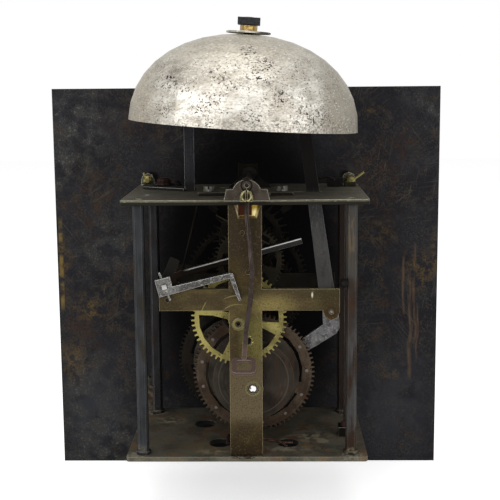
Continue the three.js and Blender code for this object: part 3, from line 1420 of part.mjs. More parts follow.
// The detents: one forging with the locking, lifting and counting arms, and the pieces pinned to it
function addDetents() {
  const group = arborGroup(detent);
  const crankRear = backBarFront - endShake;
  const crankFront = crankRear - crankThickness;
  const blockRear = blockFront + blockDepth;
  const liftingRear = frontBarFront - endShake;
  const liftingFront = liftingRear - liftingArmThickness;
  const stud = [studX - detentX, studRise];
  const [secondX, secondZ] = strikeSecond;

  const crankLine = crankShares.map(([across, up]) => [across * crankHeight, up * crankHeight]);
  const crank = wall(stripPoints(crankLine, crankLine.map(() => crankWidth)), crankFront, crankRear);
  const tilt = shift(stud[0], 0, stud[1]).multiply(turnY(blockTiltDegrees));
  const studRod = moved(
    box(-studHalf, studHalf, crankFront, blockRear + studOver, -studHalf, studHalf), tilt,
  );
  const nibLow = secondZ + hoopRadius + lockingRise - barArmHeight;
  const lockingTip = nibLow + lockingArmWidth;
  const nibX = secondX - detentX;
  const lockingRear = lockingFront + lockingArmThickness;
  const lockingLine = [[0, 0], [nibX, lockingTip]];
  const locking = join([
    wall(stripPoints(lockingLine, lockingLine.map(() => lockingArmWidth)), lockingFront, lockingRear),
    wall(
      boxPoints(nibX, nibX + lockingNibWidth, nibLow, lockingTip + lockingArmWidth / 2),
      lockingFront, lockingRear,
    ),
  ]);
  const overPins = liftingPinCircle + liftingPinRadius + runGap + leverWidth / 2;
  const liftingRise = riseOver(detentX - dialX, dialCentreHeight - barArmHeight, overPins);
  const liftingEnd = polar(detentX - dialX + liftingArmPast, halfTurn - liftingRise);
  const lifting = wall(
    stripPoints([[0, 0], liftingEnd], [leverWidth, leverWidth]), liftingFront, liftingRear,
  );
  const pinTurn = shift(stud[0], blockFront + blockDepth / 2, stud[1]).multiply(turnY(pinTiltDegrees));
  const pinHole = moved(
    post(taperPinRadius + runGap, -blockHeight, blockHeight), pinTurn,
  );
  addPiece('detent_arbor', cut(join([
    rod(detentArborRadius, liftingFront, crankRear), rod(pivotRadius, liftingFront, backBarRear - seatGap),
    crank, studRod, locking, lifting,
  ]), [pinHole]), brownIron, group);

  const block = moved(
    box(-blockWidth / 2, blockWidth / 2, blockFront, blockRear, -blockHeight / 2, blockHeight / 2),
    tilt,
  );
  const bend = [stud[0] - detentArmReach, stud[1] + detentArmRise];
  const tip = [bend[0] - detentHookLean, bend[1] - detentHookDrop];
  const [armAcross, armUp] = polar((blockHeight - detentArmRootWidth) / 2, upright - blockTiltDegrees);
  const arm = wall(stripPoints(
    [[stud[0] - armAcross, stud[1] - armUp], bend], [detentArmRootWidth, detentArmWidth],
  ), blockFront, blockRear);
  const knee = rod(detentArmWidth / 2, blockFront, blockRear, ...bend);
  const hook = wall(stripPoints([bend, tip], [detentArmWidth, detentHookTip]), blockFront, blockRear);
  const boreHalf = studHalf + seatGap;
  const studBore = moved(
    box(-boreHalf, boreHalf, blockFront - cutOverrun, blockRear + cutOverrun, -boreHalf, boreHalf), tilt,
  );
  addPiece(
    'countwheel_detent', cut(join([block, arm, knee, hook]), [studBore, pinHole]), brightSteel, group,
  );
  addPiece('detent_taper_pin', moved(
    post(taperPinRadius, -taperPinLength / 2, taperPinLength / 2, 0, 0, pinSides), pinTurn,
  ), brightSteel, group);

  const foot = [stud[0] - leverWidth / 2, leverFootRise];
  const overArbor = arborRadius + leverWarningGap + leverWidth / 2;
  const leverRise = riseOver(detentX + foot[0] - warningX, warningZ - barArmHeight - foot[1], overArbor);
  const [leverAcross, leverUp] = polar(leverReach, halfTurn - leverRise);
  const leverEnd = [foot[0] + leverAcross, foot[1] + leverUp];
  const leverRear = leverFront + leverThickness;
  const hubBore = rod(detentArborRadius + seatGap, leverFront - cutOverrun, leverRear + cutOverrun);
  addPiece('locking_lever', cut(join([
    rod(leverHubRadius, leverFront, leverRear),
    wall(stripPoints([[0, 0], foot], [leverHubRadius, leverWidth]), leverFront, leverRear),
    rod(leverWidth / 2, leverFront, leverRear, ...foot),
    wall(stripPoints([foot, leverEnd], [leverWidth, leverWidth]), leverFront, leverRear),
  ]), [hubBore]), brightSteel, group);

  const strapHigh = topLow - seatGap;
  const footX = detentX - detentArborRadius - runGap - strapThickness / 2;
  const strapLine = [
    [strapTopX, strapHigh], [strapTopX, strapHigh - strapWidth], [footX, barArmHeight + crankWidth],
    [footX, armLow],
  ];
  const strapRear = strapFront + strapWidth;
  addPiece('detent_spring', join([
    wall(stripPoints(strapLine, strapLine.map(() => strapThickness)), strapFront, strapRear),
    box(
      strapTopX - strapWidth, strapTopX + strapThickness / 2, strapFront, strapRear,
      strapHigh - strapThickness, strapHigh,
    ),
  ]), brownIron);
}

// The motion work between the front bar and the dial, and the hands in front of the dial
function handOutline(length, shares) {
  const rights = shares.map(([along, half]) => [half * length, along * length]);
  const lefts = rights.map(([across, up]) => [-across, up]).reverse();
  return [...rights, [0, length], ...lefts];
}

function addMotionWork() {
  const group = arborGroup(dialCentre);
  const minuteFront = driveFront;
  const minuteRear = minuteFront + wheelThickness;
  const minute = wheelSolid({
    outline: wheelOutline(driveTeeth, driveRadius, motionMesh + halfTurn + halfTurn / driveTeeth),
    rim: rimWidth,
    innerRadius: driveRadius, bore: stemRadius + runGap, front: minuteFront, crossDegrees: minuteHandDegrees,
  });
  const cannon = turned(ring(stemRadius + runGap, cannonRadius, minuteHandFront, minuteRear));
  const [pinX, pinZ] = polar(liftingPinCircle, minuteHandDegrees);
  const pin = rod(liftingPinRadius, minuteFront, frontBarFront - 2 * runGap, pinX, pinZ, pinSides);
  addPiece('minute_wheel', join([minute, cannon, pin]), darkBrass, group);

  const hourWheel = wheelSolid({
    outline: wheelOutline(hourTeeth, hourRadius, motionMesh + halfTurn), rim: rimWidth,
    innerRadius: hourRadius,
    bore: cannonRadius + runGap, front: hourFront,
  });
  const pipe = turned(ring(cannonRadius + runGap, hourPipeRadius, hourHandFront, hourFront + wheelThickness));
  addPiece('hour_wheel', join([hourWheel, pipe]), darkBrass, group);

  const hand = (name, length, boss, bore, front, rear, degrees) => {
    const blade = moved(wall(handOutline(length, handShares), front, rear), turnY(upright - degrees));
    const solid = cut(
      join([blade, rod(boss, front, rear)]),
      [rod(bore + seatGap, front - cutOverrun, rear + cutOverrun)],
    );
    addPiece(name, solid, blackIron, group);
  };
  hand(
    'hour_hand', hourHandLength, handBossRadius, hourPipeRadius, hourHandFront, hourHandRear,
    hourHandDegrees,
  );
  hand(
    'minute_hand', minuteHandLength, handBossRadius, cannonRadius, minuteHandFront, minuteHandRear,
    minuteHandDegrees,
  );
}

addPlates();
addPillars();
addBars();
addDial();
addGoingTrain();
addPallets();
addCock();
addStrikingTrain();
addHammer();
addDetents();
addBell();
addMotionWork();

export default pieces;
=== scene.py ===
"""Looks of a thirty-hour clock movement, seen from behind: bell, hammer, two brass plates on four
pillars, the striking train in front of the eye and the back of the iron dial behind it all."""

import math

import bmesh
import bpy
from mathutils import Matrix, Vector


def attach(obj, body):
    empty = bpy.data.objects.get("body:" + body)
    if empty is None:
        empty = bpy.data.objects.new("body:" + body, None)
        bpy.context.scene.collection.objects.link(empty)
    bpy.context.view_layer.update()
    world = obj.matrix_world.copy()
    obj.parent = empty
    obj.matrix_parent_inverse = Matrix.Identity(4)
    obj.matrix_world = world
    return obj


MM = 0.001

# where things are, in millimetres

DIAL_CENTRE = (1.8, 85.2)
DIAL_FRONT = -71.7
DIAL_BACK = -69.8
FLOOR_LEVEL = -41.9
TOP_PLATE_TOP = 151.1
BOTTOM_PLATE_TOP = 2.8
BAR_REAR = 45.5
PALLET_CENTRE = (-1.4, 159.9)
STRIKE_CENTRE = (-3.8, 42.5)
SECOND_CENTRE = (4.2, 80.3)
HAMMER_CENTRE = (-48.3, 87.4)
WARNING_CENTRE = (-1.5, 110)
FLY_CENTRE = (1.5, 132.5)
GOING_CENTRE = (7.3, 42.7)
PILLAR_FEET = ((64, 45), (-60, 45), (60, -38), (-60, -38))

# the camera of the photograph

CAMERA_PLACE = (-15.5, 642.5, 215.4)
CAMERA_YAW = 1.22
CAMERA_PITCH = 8.82
CAMERA_ROLL = 0.468
CAMERA_LENS = 77.76

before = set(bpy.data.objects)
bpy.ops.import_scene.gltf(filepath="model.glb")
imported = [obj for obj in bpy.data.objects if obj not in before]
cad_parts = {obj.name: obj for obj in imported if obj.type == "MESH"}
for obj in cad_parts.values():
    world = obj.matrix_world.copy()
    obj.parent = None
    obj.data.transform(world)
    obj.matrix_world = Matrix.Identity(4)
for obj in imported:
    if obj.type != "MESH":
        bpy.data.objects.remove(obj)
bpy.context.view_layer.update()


def linear(code):
    """An sRGB hex colour as the linear red, green, blue and alpha that a shader takes."""
    parts = [int(code[i : i + 2], 16) / 255 for i in (0, 2, 4)]
    return tuple(p / 12.92 if p <= 0.04045 else ((p + 0.055) / 1.055) ** 2.4 for p in parts) + (1.0,)


def add(tree, kind, inputs=None, **settings):
    """Adds one shader node, makes its settings, and sets or links each input that is named."""
    node = tree.nodes.new("ShaderNode" + kind)
    for name, value in settings.items():
        setattr(node, name, value)
    for name, value in (inputs or {}).items():
        if isinstance(value, bpy.types.NodeSocket):
            tree.links.new(value, node.inputs[name])
        else:
            node.inputs[name].default_value = value
    return node


class Finish:
    """A surface built up in the order in which the real one came about: bare metal, then wear and dirt.

    Shine is how much dirt, paint or rust mirrors the room; bare metal mirrors it whatever shine is."""

    def __init__(self, name, colour, rough, metal=1.0, edge=0.35, shine=0.1):
        self.material = bpy.data.materials.new(name)
        self.material.use_nodes = True
        self.tree = self.material.node_tree
        self.shader = self.tree.nodes["Principled BSDF"]
        self.shader.inputs["Specular IOR Level"].default_value = shine
        self.place = add(self.tree, "TexCoord").outputs["Object"]
        self.values = {"Base Color": linear(colour), "Roughness": rough, "Metallic": metal}
        self.round = add(self.tree, "Bevel", {"Radius": edge * MM}, samples=6).outputs["Normal"]
        self.normal = self.round

    def sized(self, size, stretch=(1, 1, 1), turn=(0, 0, 0)):
        """The place on the part, counted in marks of that many millimetres, drawn out along an axis."""
        scale = [size * MM * s for s in stretch]
        turned = tuple(math.radians(t) for t in turn)
        inputs = {"Vector": self.place, "Scale": scale, "Rotation": turned}
        return add(self.tree, "Mapping", inputs, vector_type="TEXTURE").outputs["Vector"]

    def ranged(self, value, low, high):
        """Nought below low, one above high, and a soft step between them."""
        inputs = {"Value": value, "From Min": low, "From Max": high}
        return add(self.tree, "MapRange", inputs, interpolation_type="SMOOTHSTEP").outputs["Result"]

    def meet(self, *marks):
        """Where all of these marks are; a number among them is the share that shows there."""
        where, *others = marks
        for mark in others:
            where = add(self.tree, "Math", {0: where, 1: mark}, operation="MULTIPLY").outputs[0]
        return where

    def clouds(self, size, low=0.4, high=0.65, detail=5, **drawn):
        """Soft patches about as large as size, with ragged borders."""
        inputs = {"Vector": self.sized(size, **drawn), "Scale": 1.0, "Detail": detail}
        return self.ranged(add(self.tree, "TexNoise", inputs).outputs["Fac"], low, high)

    def pits(self, size, width=0.3, share=0.35, **drawn):
        """Small round pits, size apart, in some of the places where one could be."""
        cells = add(self.tree, "TexVoronoi", {"Vector": self.sized(size, **drawn), "Scale": 1.0})
        near = self.ranged(cells.outputs["Distance"], width, width * 0.45)
        chosen = self.ranged(cells.outputs["Color"], 1 - share, 1 - share * 0.8)
        return self.meet(near, chosen)

    def hairlines(self, size, width, **drawn):
        """Long straight scratches in all directions, about size apart and width wide."""
        inputs = {"Vector": self.sized(size, **drawn), "Scale": 1.0}
        cells = add(self.tree, "TexVoronoi", inputs, feature="DISTANCE_TO_EDGE")
        return self.ranged(cells.outputs["Distance"], width / size, width / size * 0.3)

    def edges(self, low=0.03, high=0.25):
        """The arrises, where hands and files have rubbed the metal bright."""
        flat = add(self.tree, "NewGeometry").outputs["Normal"]
        inputs = {0: flat, 1: self.round}
        same = add(self.tree, "VectorMath", inputs, operation="DOT_PRODUCT").outputs["Value"]
        return self.ranged(same, 1 - low, 1 - high)

    def worn_edges(self):
        """The arrises that are rubbed bright further in."""
        return self.edges(0.02, 0.2)

    def corners(self, reach, low=0.25, high=0.7):
        """The inner corners, and the places close under other parts, found by ambient occlusion."""
        inputs = {"Distance": reach * MM}
        open_share = add(self.tree, "AmbientOcclusion", inputs, samples=6).outputs["AO"]
        return self.ranged(open_share, 1 - low, 1 - high)

    def along(self, axis, start, end):
        """Nought at start and one at end, in millimetres along X, Y or Z."""
        parts = add(self.tree, "SeparateXYZ", {"Vector": self.place})
        return self.ranged(parts.outputs[axis], start * MM, end * MM)

    def within(self, axis, low, high, soft=1):
        """One between two places along X, Y or Z, fading to nought outside them over soft millimetres."""
        return self.meet(self.along(axis, low - soft, low), self.along(axis, high + soft, high))

    def facing_up(self):
        """The faces that look up."""
        normal = add(self.tree, "NewGeometry").outputs["Normal"]
        parts = add(self.tree, "SeparateXYZ", {"Vector": normal})
        return self.ranged(parts.outputs["Z"], 0.45, 0.8)

    def away(self, point, shares):
        """How far each place is from a point in metres, each axis stretched by its share."""
        inputs = {0: self.place, 1: point}
        moved = add(self.tree, "VectorMath", inputs, operation="SUBTRACT").outputs[0]
        inputs = {0: moved, 1: shares}
        scaled = add(self.tree, "VectorMath", inputs, operation="MULTIPLY").outputs[0]
        return add(self.tree, "VectorMath", {0: scaled}, operation="LENGTH").outputs["Value"]

    def near(self, point, reach, soft=0.5):
        """One at a point in millimetres, fading to nought at a reach that may differ along X, Y and Z."""
        reaches = reach if isinstance(reach, tuple) else (reach, reach, reach)
        at = tuple(p * MM for p in point)
        shares = tuple(1 / (r * MM) for r in reaches)
        return self.ranged(self.away(at, shares), 1, 1 - soft)

    def from_centre(self, centre):
        """How far each place is, in metres, from a line along Y through the centre."""
        return self.away((centre[0] * MM, 0, centre[1] * MM), (1, 0, 1))

    def rings(self, centre, gap):
        """Fine circles left by turning in a lathe, that gap apart, round a centre line along Y."""
        inputs = {"W": self.from_centre(centre), "Scale": 1 / (gap * MM), "Detail": 3.0}
        return add(self.tree, "TexNoise", inputs, noise_dimensions="1D").outputs["Fac"]

    def circle(self, centre, radius, width, soft=0.4):
        """One ring of that radius and width round a centre line along Y."""
        away = self.from_centre(centre)
        outer = (radius + width / 2) * MM
        inner = (radius - width / 2) * MM
        fade = soft * MM
        return self.meet(self.ranged(away, outer + fade, outer), self.ranged(away, inner - fade, inner))

    def run(self, left, top, bottom, width, sway, bend=34):
        """A run of rusty water: a thin wavering stripe from top down to bottom."""
        parts = add(self.tree, "SeparateXYZ", {"Vector": self.place}).outputs
        inputs = {"W": parts["Z"], "Scale": 1 / (bend * MM), "Detail": 1.0}
        noise = add(self.tree, "TexNoise", inputs, noise_dimensions="1D").outputs["Fac"]
        inputs = {0: noise, 1: 2 * sway * MM, 2: parts["X"]}
        swayed = add(self.tree, "Math", inputs, operation="MULTIPLY_ADD").outputs[0]
        inputs = {0: swayed, 1: (left + sway) * MM}
        moved = add(self.tree, "Math", inputs, operation="SUBTRACT").outputs[0]
        away = add(self.tree, "Math", {0: moved}, operation="ABSOLUTE").outputs[0]
        stripe = self.ranged(away, width * MM, width * 0.3 * MM)
        return self.meet(stripe, self.within("Z", bottom, top, 8))

    def over(self, where, colour=None, rough=None, metal=None):
        """Lays another colour, roughness or share of bare metal where a mark is, or several meet."""
        where = self.meet(*where) if isinstance(where, tuple) else where
        layers = {"Base Color": colour and linear(colour), "Roughness": rough, "Metallic": metal}
        for name, value in layers.items():
            if value is None:
                continue
            tint = name == "Base Color"
            first = 6 if tint else 2
            inputs = {0: where, first: self.values[name], first + 1: value}
            mixed = add(self.tree, "Mix", inputs, data_type="RGBA" if tint else "FLOAT")
            self.values[name] = mixed.outputs[2 if tint else 0]
        return self

    def relief(self, height, depth):
        """Raises the surface by that height times depth in millimetres; a negative depth sinks it."""
        inputs = {"Height": height, "Distance": abs(depth) * MM, "Normal": self.normal}
        self.normal = add(self.tree, "Bump", inputs, invert=depth < 0).outputs["Normal"]
        return self

    def uneven(self, size, depth, **drawn):
        """Makes the surface rise and fall softly, by that depth in marks of that size."""
        return self.relief(self.clouds(size, 0.2, 0.8, **drawn), depth)

    def done(self, *names):
        """Gives the shader what was built up, puts the material on those nodes, and gives it back."""
        for name, value in {**self.values, "Normal": self.normal}.items():
            if isinstance(value, bpy.types.NodeSocket):
                self.tree.links.new(value, self.shader.inputs[name])
            else:
                self.shader.inputs[name].default_value = value
        for name in names:
            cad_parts[name].data.materials[0] = self.material
        return self.material


def on_bar(centre):
    """The place where a centre line comes through the rear of the back bar."""
    return (centre[0], BAR_REAR, centre[1])


# file strokes, the grain of the metal and its pits are finer than the picture can show,
# so all of them are drawn 0.5 to 1.5 mm wide, as coarse as they need to be to show

UPRIGHT_STROKES = (1, 1, 30)
BELL_DEEP = 200
PIT_CLUSTERS = (
    (13.7, 219.5, 9),
    (-10, 221, 16),
    (-2.4, 232, 8),
    (-20.8, 206.6, 9),
    (21, 202, 11),
    (15.4, 208, 8),
    (-4, 194, 14),
    (-36, 197, 14),
    (45, 201, 8),
    (41, 217, 11),
)

# cast bell metal, turned once and then left: warm silver, grainy as fine sand, and black pits in a band

bell = Finish("cast_bell_metal", "c5c0b6", 0.42)
# painted shade: the bell darker towards its top and towards both sides
bell.over(bell.along("Z", 214, 240), "b2ac9d", 0.48)
bell.over(bell.along("X", -26, -58), "948e80", 0.5)
bell.over(bell.along("X", 40, 62), "aaa292", 0.48)
# painted highlights: three pale ragged patches across the bell's face
PAINTED_HIGHLIGHTS = (((30, 206), (26, 26)), ((-32, 208), (19, 30)), ((2, 204), (28, 14)))
for (x, z), (wide, high) in PAINTED_HIGHLIGHTS:
    painted_highlight = bell.near((x, 0, z), (wide, BELL_DEEP, high), 1)
    bell.over((painted_highlight, bell.clouds(7, 0.3, 0.7, stretch=(1.6, 1.6, 1))), "ebe8e0", 0.4)
bell.over((bell.clouds(11, 0.44, 0.66, stretch=(2, 2, 1)), 0.75), "a39d91", 0.5)
bell.over((bell.clouds(4, 0.48, 0.68, stretch=(2.6, 2.6, 1)), 0.42), "8d867a", 0.52)
smoke = bell.near((36, 0, 216), (34, BELL_DEEP, 26), 1)
bell.over((smoke, bell.clouds(5, 0.46, 0.64, stretch=(3.4, 3.4, 1)), 0.7), "7b756a", 0.54)
bell.over((bell.clouds(0.8, 0.46, 0.66, detail=3, stretch=(2.2, 2.2, 1)), 0.5), "7f786c", 0.55)
# painted glints: fine pale specks over the whole bell
painted_glints = bell.clouds(0.8, 0.58, 0.72, detail=3, stretch=(2, 2, 1), turn=(0, 12, 30))
bell.over((painted_glints, 0.5), "f0eee8", 0.36)
specks = bell.clouds(1.1, 0.6, 0.64, detail=2, stretch=(1.3, 1.3, 1))
blots = bell.clouds(1.9, 0.61, 0.64, detail=3, stretch=(1.3, 1.3, 1), turn=(0, 20, 50))
for x, z, reach in PIT_CLUSTERS:
    cluster = bell.near((x, 0, z), (reach, BELL_DEEP, 0.75 * reach), 0.7)
    bell.over((cluster, specks), "35302b", 0.7, 0.4)
    bell.over((cluster, blots), "191614", 0.7, 0.4)
band = bell.meet(bell.within("Z", 190, 226, 6), bell.within("X", -46, 52, 12))
scattered = bell.clouds(1.0, 0.6, 0.65, detail=2, turn=(0, 30, 20))
bell.over((band, bell.clouds(8, 0.42, 0.58), scattered), "37322d", 0.7, 0.5)
bell.over((bell.pits(1.6, 0.26, 0.2), bell.along("Z", 236, 222)), "45403a", 0.7, 0.5)
bell.over((bell.along("Z", 202, 188), bell.clouds(1.2, 0.46, 0.6), 0.6), "625c52", 0.55)
bell.over((bell.edges(), bell.along("Z", 192, 190)), "9a9384", 0.5)
bell.uneven(9, 0.14)
bell.relief(bell.clouds(0.8, 0.3, 0.8), 0.045)
bell.done("bell")

# blackened iron nut: nearly black, with a painted highlight of dull grey on the faces that look up, and
# brighter arrises where a spanner has rubbed it

nut = Finish("blackened_iron_nut", "343435", 0.5, 0.7, edge=0.5)
nut.over(nut.clouds(1.6), "28282a", 0.55)
# painted highlight: the faces that look up in dull grey
nut.over(nut.facing_up(), "55565a", 0.5)
nut.over(nut.edges(), "65676b", 0.36, 1.0)
nut.uneven(0.6, 0.03)
nut.done("bell_nut")

# turned brass collar under the nut: the one clean yellow spot up there, dark where it meets the washer

collar = Finish("turned_brass_collar", "a98e58", 0.34)
collar.over(collar.clouds(1.8), "6f5a33", 0.44)
# painted highlight: a small pale yellow spot on the collar
collar.over((collar.near((0, 10, 247), (3, 6, 4), 0.8), 0.8), "dcc694", 0.3)
collar.over(collar.corners(1.5), "3a2d1a", 0.6, 0.5)
collar.uneven(0.5, 0.03)
collar.done("bell_collar")

# steel washer, rubbed pale on top of the bell, with painted shade darkening the end that faces away from
# the window

washer = Finish("worn_steel_washer", "a7a298", 0.4)
washer.over(washer.clouds(4), "8b867b", 0.5)
# painted shade: the end away from the window much darker
washer.over(washer.along("X", -5, -11), "4c4942", 0.5)
washer.over(washer.edges(), "c9c5ba", 0.3)
washer.uneven(0.8, 0.04)
washer.done("bell_washer")


def filed_steel(name, body, shade, bright, size, rust=None):
    """Forged steel finished with a file: dark grey, long faint strokes, pale arrises, a bloom of rust."""
    steel = Finish(name, body, 0.5, 0.9, edge=0.6)
    steel.over(steel.clouds(size, 0.38, 0.66), shade, 0.56)
    steel.over((steel.clouds(0.8, 0.5, 0.78, stretch=UPRIGHT_STROKES), 0.6), bright, 0.44)
    if rust:
        steel.over(steel.clouds(size * 0.5, 0.54, 0.68, stretch=(1, 1, 3)), rust, 0.7, 0.35)
    steel.over(steel.pits(1.4, 0.3, 0.3), "121114", 0.7, 0.5)
    steel.over(steel.corners(5), "100f0f", 0.75, 0.4)
    steel.uneven(0.5, 0.03, stretch=UPRIGHT_STROKES)
    steel.uneven(5, 0.1)
    return steel


stand = filed_steel("filed_steel_bell_stand", "2a2a2c", "212123", "3a3b40", 14)
stand.over(stand.along("Z", 158, 154), "1f1f1f", 0.6, 0.5)
stand.over(stand.worn_edges(), "7c7e82", 0.36, 1.0)
# the foot's arrises rubbed bright and lit paler still: wear and a painted highlight
stand.over((stand.worn_edges(), stand.along("Z", 156, 153)), "a8a69b", 0.36, 1.0)
stand.done("bell_stand")

steel = filed_steel("drawfiled_left_pillar", "343537", "292a2a", "45474a", 16, "2f2a23")
steel.over(steel.worn_edges(), "646769", 0.4)
steel.over((steel.near((64, 45, 5), (9, 9, 5)), steel.clouds(2)), "5d594e", 0.7, 0.3)
steel.done("pillar_rear_left")

steel = filed_steel("drawfiled_right_pillar", "3a3938", "2c2a28", "515053", 16, "38291f")
worn_brown = steel.meet(steel.within("Z", 112, 144, 8), steel.clouds(2.4, 0.42, 0.6, stretch=(1, 1, 6)))
steel.over((worn_brown, 0.6), "423a2c", 0.55, 0.7)
worn_brown = steel.meet(steel.within("Z", 122, 140, 3), steel.clouds(1.6, 0.46, 0.6, stretch=(1, 1, 6)))
steel.over((worn_brown, steel.within("X", -61, -58, 1)), "50473a", 0.52, 0.8)
steel.over((steel.along("Z", 112, 96), steel.clouds(7, 0.46, 0.6, stretch=(1, 1, 3))), "2e241d", 0.6)
steel.over(steel.worn_edges(), "6a6762", 0.38)
# painted highlight: a pale upright line on the pillar's inner side
steel.over((steel.within("X", -56.8, -55, 0.3), steel.within("Z", 101, 149, 3)), "94918b", 0.38, 1.0)
steel.over((steel.near((-60, 45, 4), (7, 7, 4)), steel.clouds(2)), "6a6352", 0.7, 0.4)
steel.done("pillar_rear_right")

# the front pillars: a darker copy of the pillar steel, painted shade for their place deep in the movement
steel = filed_steel("drawfiled_shaded_front_pillars", "29282a", "201f1f", "343436", 16, "2a1f19")
steel.over(steel.along("X", -50, -58), "29221e", 0.6, 0.7)
steel.over(steel.worn_edges(), "77736c", 0.36, 1.0)
steel.over((steel.along("Z", 10, 3), steel.clouds(2)), "4d493f", 0.7, 0.4)
steel.done("pillar_front_left", "pillar_front_right")

# turned steel screws: greasy grey heads with bright rims, and black in their slots

screws = Finish("turned_steel_screws", "6a6862", 0.42)
screws.over(screws.clouds(2, 0.4, 0.7), "3f3c36", 0.52)
screws.over(screws.edges(), "9b9890", 0.3)
screws.over(screws.corners(1.4, 0.3, 0.8), "100e0b", 0.8, 0.2)
screws.over(screws.along("Z", 120, 60), "3b2b23", 0.62, 0.6)
screws.uneven(0.5, 0.04)
screws.done("cock_screw_left", "cock_screw_right", "hammer_spring_screw")

# one screw left to rust: rough and red-brown, with a dull shine only on its corners

iron = Finish("rusted_steel_screw", "2e201c", 0.6, 0.6)
iron.over(iron.clouds(1.8, 0.4, 0.65), "1d120f", 0.75, 0.3)
iron.over(iron.edges(), "77655d", 0.42, 0.9)
iron.over(iron.corners(1.6), "0c0807", 0.8, 0.1)
iron.uneven(0.6, 0.08)
rusty_screw = iron.done("bell_stand_screw")


def aged_plate(name, body, shade, stain, rubbed):
    """Sheet brass handled for two centuries: olive clouds, brown oil, dark corners and a bright rim."""
    plate = Finish(name, body, 0.55, 0.65, edge=0.6)
    plate.over(plate.clouds(20, 0.38, 0.64), shade, 0.6, 0.6)
    plate.over(plate.clouds(8, 0.52, 0.68), stain, 0.6, 0.6)
    plate.over((plate.clouds(0.9, 0.5, 0.74), 0.55), rubbed, 0.46)
    plate.over(plate.pits(1.8, 0.3, 0.25), "161410", 0.7, 0.3)
    plate.over(plate.pits(3.6, 0.13, 0.2), "8a867c", 0.7, 0.2)
    plate.over(plate.corners(5, 0.45, 0.9), "171512", 0.8, 0.2)
    plate.uneven(0.8, 0.05)
    plate.uneven(9, 0.12)
    return plate


PALE_DRIP = (57.5, 17.4, TOP_PLATE_TOP)
plate = aged_plate("patinated_brass_top_plate", "56534a", "45433b", "5b5546", "7a7561")
plate.over((plate.along("Y", 26, 47), 0.5), "5a5747")
plate.over((plate.clouds(2.4, 0.52, 0.62, stretch=(4, 1, 1)), 0.6), "3a382f", 0.6)
scuffs = plate.clouds(0.9, 0.6, 0.68, detail=2, stretch=(5, 1, 1), turn=(0, 0, 12))
plate.over((scuffs, 0.6), "8b8772", 0.42)
# painted shade: the lower half of the plate's edge darker
plate.over(plate.along("Z", TOP_PLATE_TOP - 0.9, TOP_PLATE_TOP - 1.3), "23211b", 0.62)
# upper arrises rubbed bright and lit paler still: wear and a painted highlight
plate.over((plate.worn_edges(), plate.along("Z", 149.6, 150.4)), "b7b49e", 0.34, 1.0)
plate.over(plate.near(PALE_DRIP, 1.7, 0.4), "dcd9d2", 0.6, 0.0)
plate.done("top_plate")

plate = aged_plate("stained_brass_bottom_plate", "5c574c", "413e36", "63503a", "787060")
for x, y, wide, deep in ((-38, 12, 22, 16), (20, 38, 22, 8), (50, -20, 16, 12), (-20, 34, 26, 7)):
    dusty = plate.near((x, y, BOTTOM_PLATE_TOP), (wide, deep, 3), 1)
    plate.over((dusty, plate.clouds(4, 0.4, 0.6)), "7d7562", 0.66, 0.4)
plate.over((plate.near((24, 30, BOTTOM_PLATE_TOP), (26, 16, 3), 1), 0.8), "62563f", 0.58)
plate.over((plate.clouds(6, 0.56, 0.66), 0.8), "4a4e42", 0.62, 0.5)
plate.over((plate.clouds(11, 0.56, 0.66, turn=(0, 0, 40)), 0.8), "4d392c", 0.65, 0.4)
plate.over(plate.near((-45, 20, BOTTOM_PLATE_TOP), 4.5, 0.4), "77725f", 0.6, 0.5)
# painted shade: near black on the rope holes' walls and the underside within the plate's edges
shaded_rope_holes = plate.meet(plate.within("X", -54, 54), plate.within("Y", -36, 40))
plate.over((shaded_rope_holes, plate.along("Z", 2.7, 2.3)), "0b0a08", 0.8, 0.1)
for x, y in PILLAR_FEET:
    foot = plate.near((x, y, BOTTOM_PLATE_TOP), 9)
    plate.over((foot, plate.clouds(2, 0.4, 0.6)), "6c675a", 0.75, 0.2)
# painted shadow: near black on the plate just under the back bar
shade_under_bar = plate.near((2, 46, 2.4), (9, 4, 1.1), 0.3)
plate.over((shade_under_bar, plate.clouds(1.5, 0.4, 0.5)), "0c0a08", 0.8, 0.2)
plate.over((plate.along("Z", 4, 6), plate.clouds(3, 0.3, 0.6)), "3a2a20", 0.65, 0.3)
plate.over((plate.worn_edges(), plate.along("Y", 42, 46)), "77745f", 0.42, 1.0)
plate.done("bottom_plate")

# the bars that carry the wheels: cast brass, filed flat and browned, more golden along the arms

POCKET_LOW = 140.5
ARM_LOW = 78
ARM_HIGH = 103
MISSING_STUD = (-1.1, 70.5)
ARM_FLECK = (-37.6, BAR_REAR, 97)

bar = Finish("filed_brass_bar", "433822", 0.5, 0.92, edge=0.6)
bar.over(bar.clouds(14, 0.4, 0.64), "382e20", 0.56, 0.85)
arms = bar.within("Z", ARM_LOW + 4, ARM_HIGH - 4, 4)
bar.over(arms, "50462c", 0.46)
bar.over((arms, bar.clouds(12, 0.4, 0.6, stretch=(2, 1, 1))), "3d3424", 0.52)
bar.over((arms, bar.along("X", -34, -46)), "37301f", 0.55)
bar.over((arms, bar.along("X", 30, 46)), "3b3323", 0.55)
bar.over((bar.near((-52, BAR_REAR, 84), (16, 6, 14), 1), bar.clouds(5, 0.3, 0.55)), "372a1c", 0.55)
bar.over((arms, bar.near((-14, BAR_REAR, 91), (22, 6, 10), 1), 0.9), "74683f", 0.42)
bar.over(bar.along("Z", ARM_HIGH, 124), "30281d", 0.55)
bar.over((bar.within("X", -12, 0, 6), bar.within("Z", 58, 80, 8)), "5c5530", 0.48)
bar.over(bar.within("Z", 28, 54, 10), "544a37", 0.5)
bar.over((bar.along("Z", 28, 6), bar.clouds(9, 0.25, 0.5)), "2a2116", 0.58)
bar.over((bar.clouds(0.8, 0.46, 0.68, detail=3), 0.45), "2b2418", 0.6)
bar.over((bar.clouds(0.8, 0.55, 0.72, detail=3, turn=(30, 0, 60)), 0.55), "5d553d", 0.45)
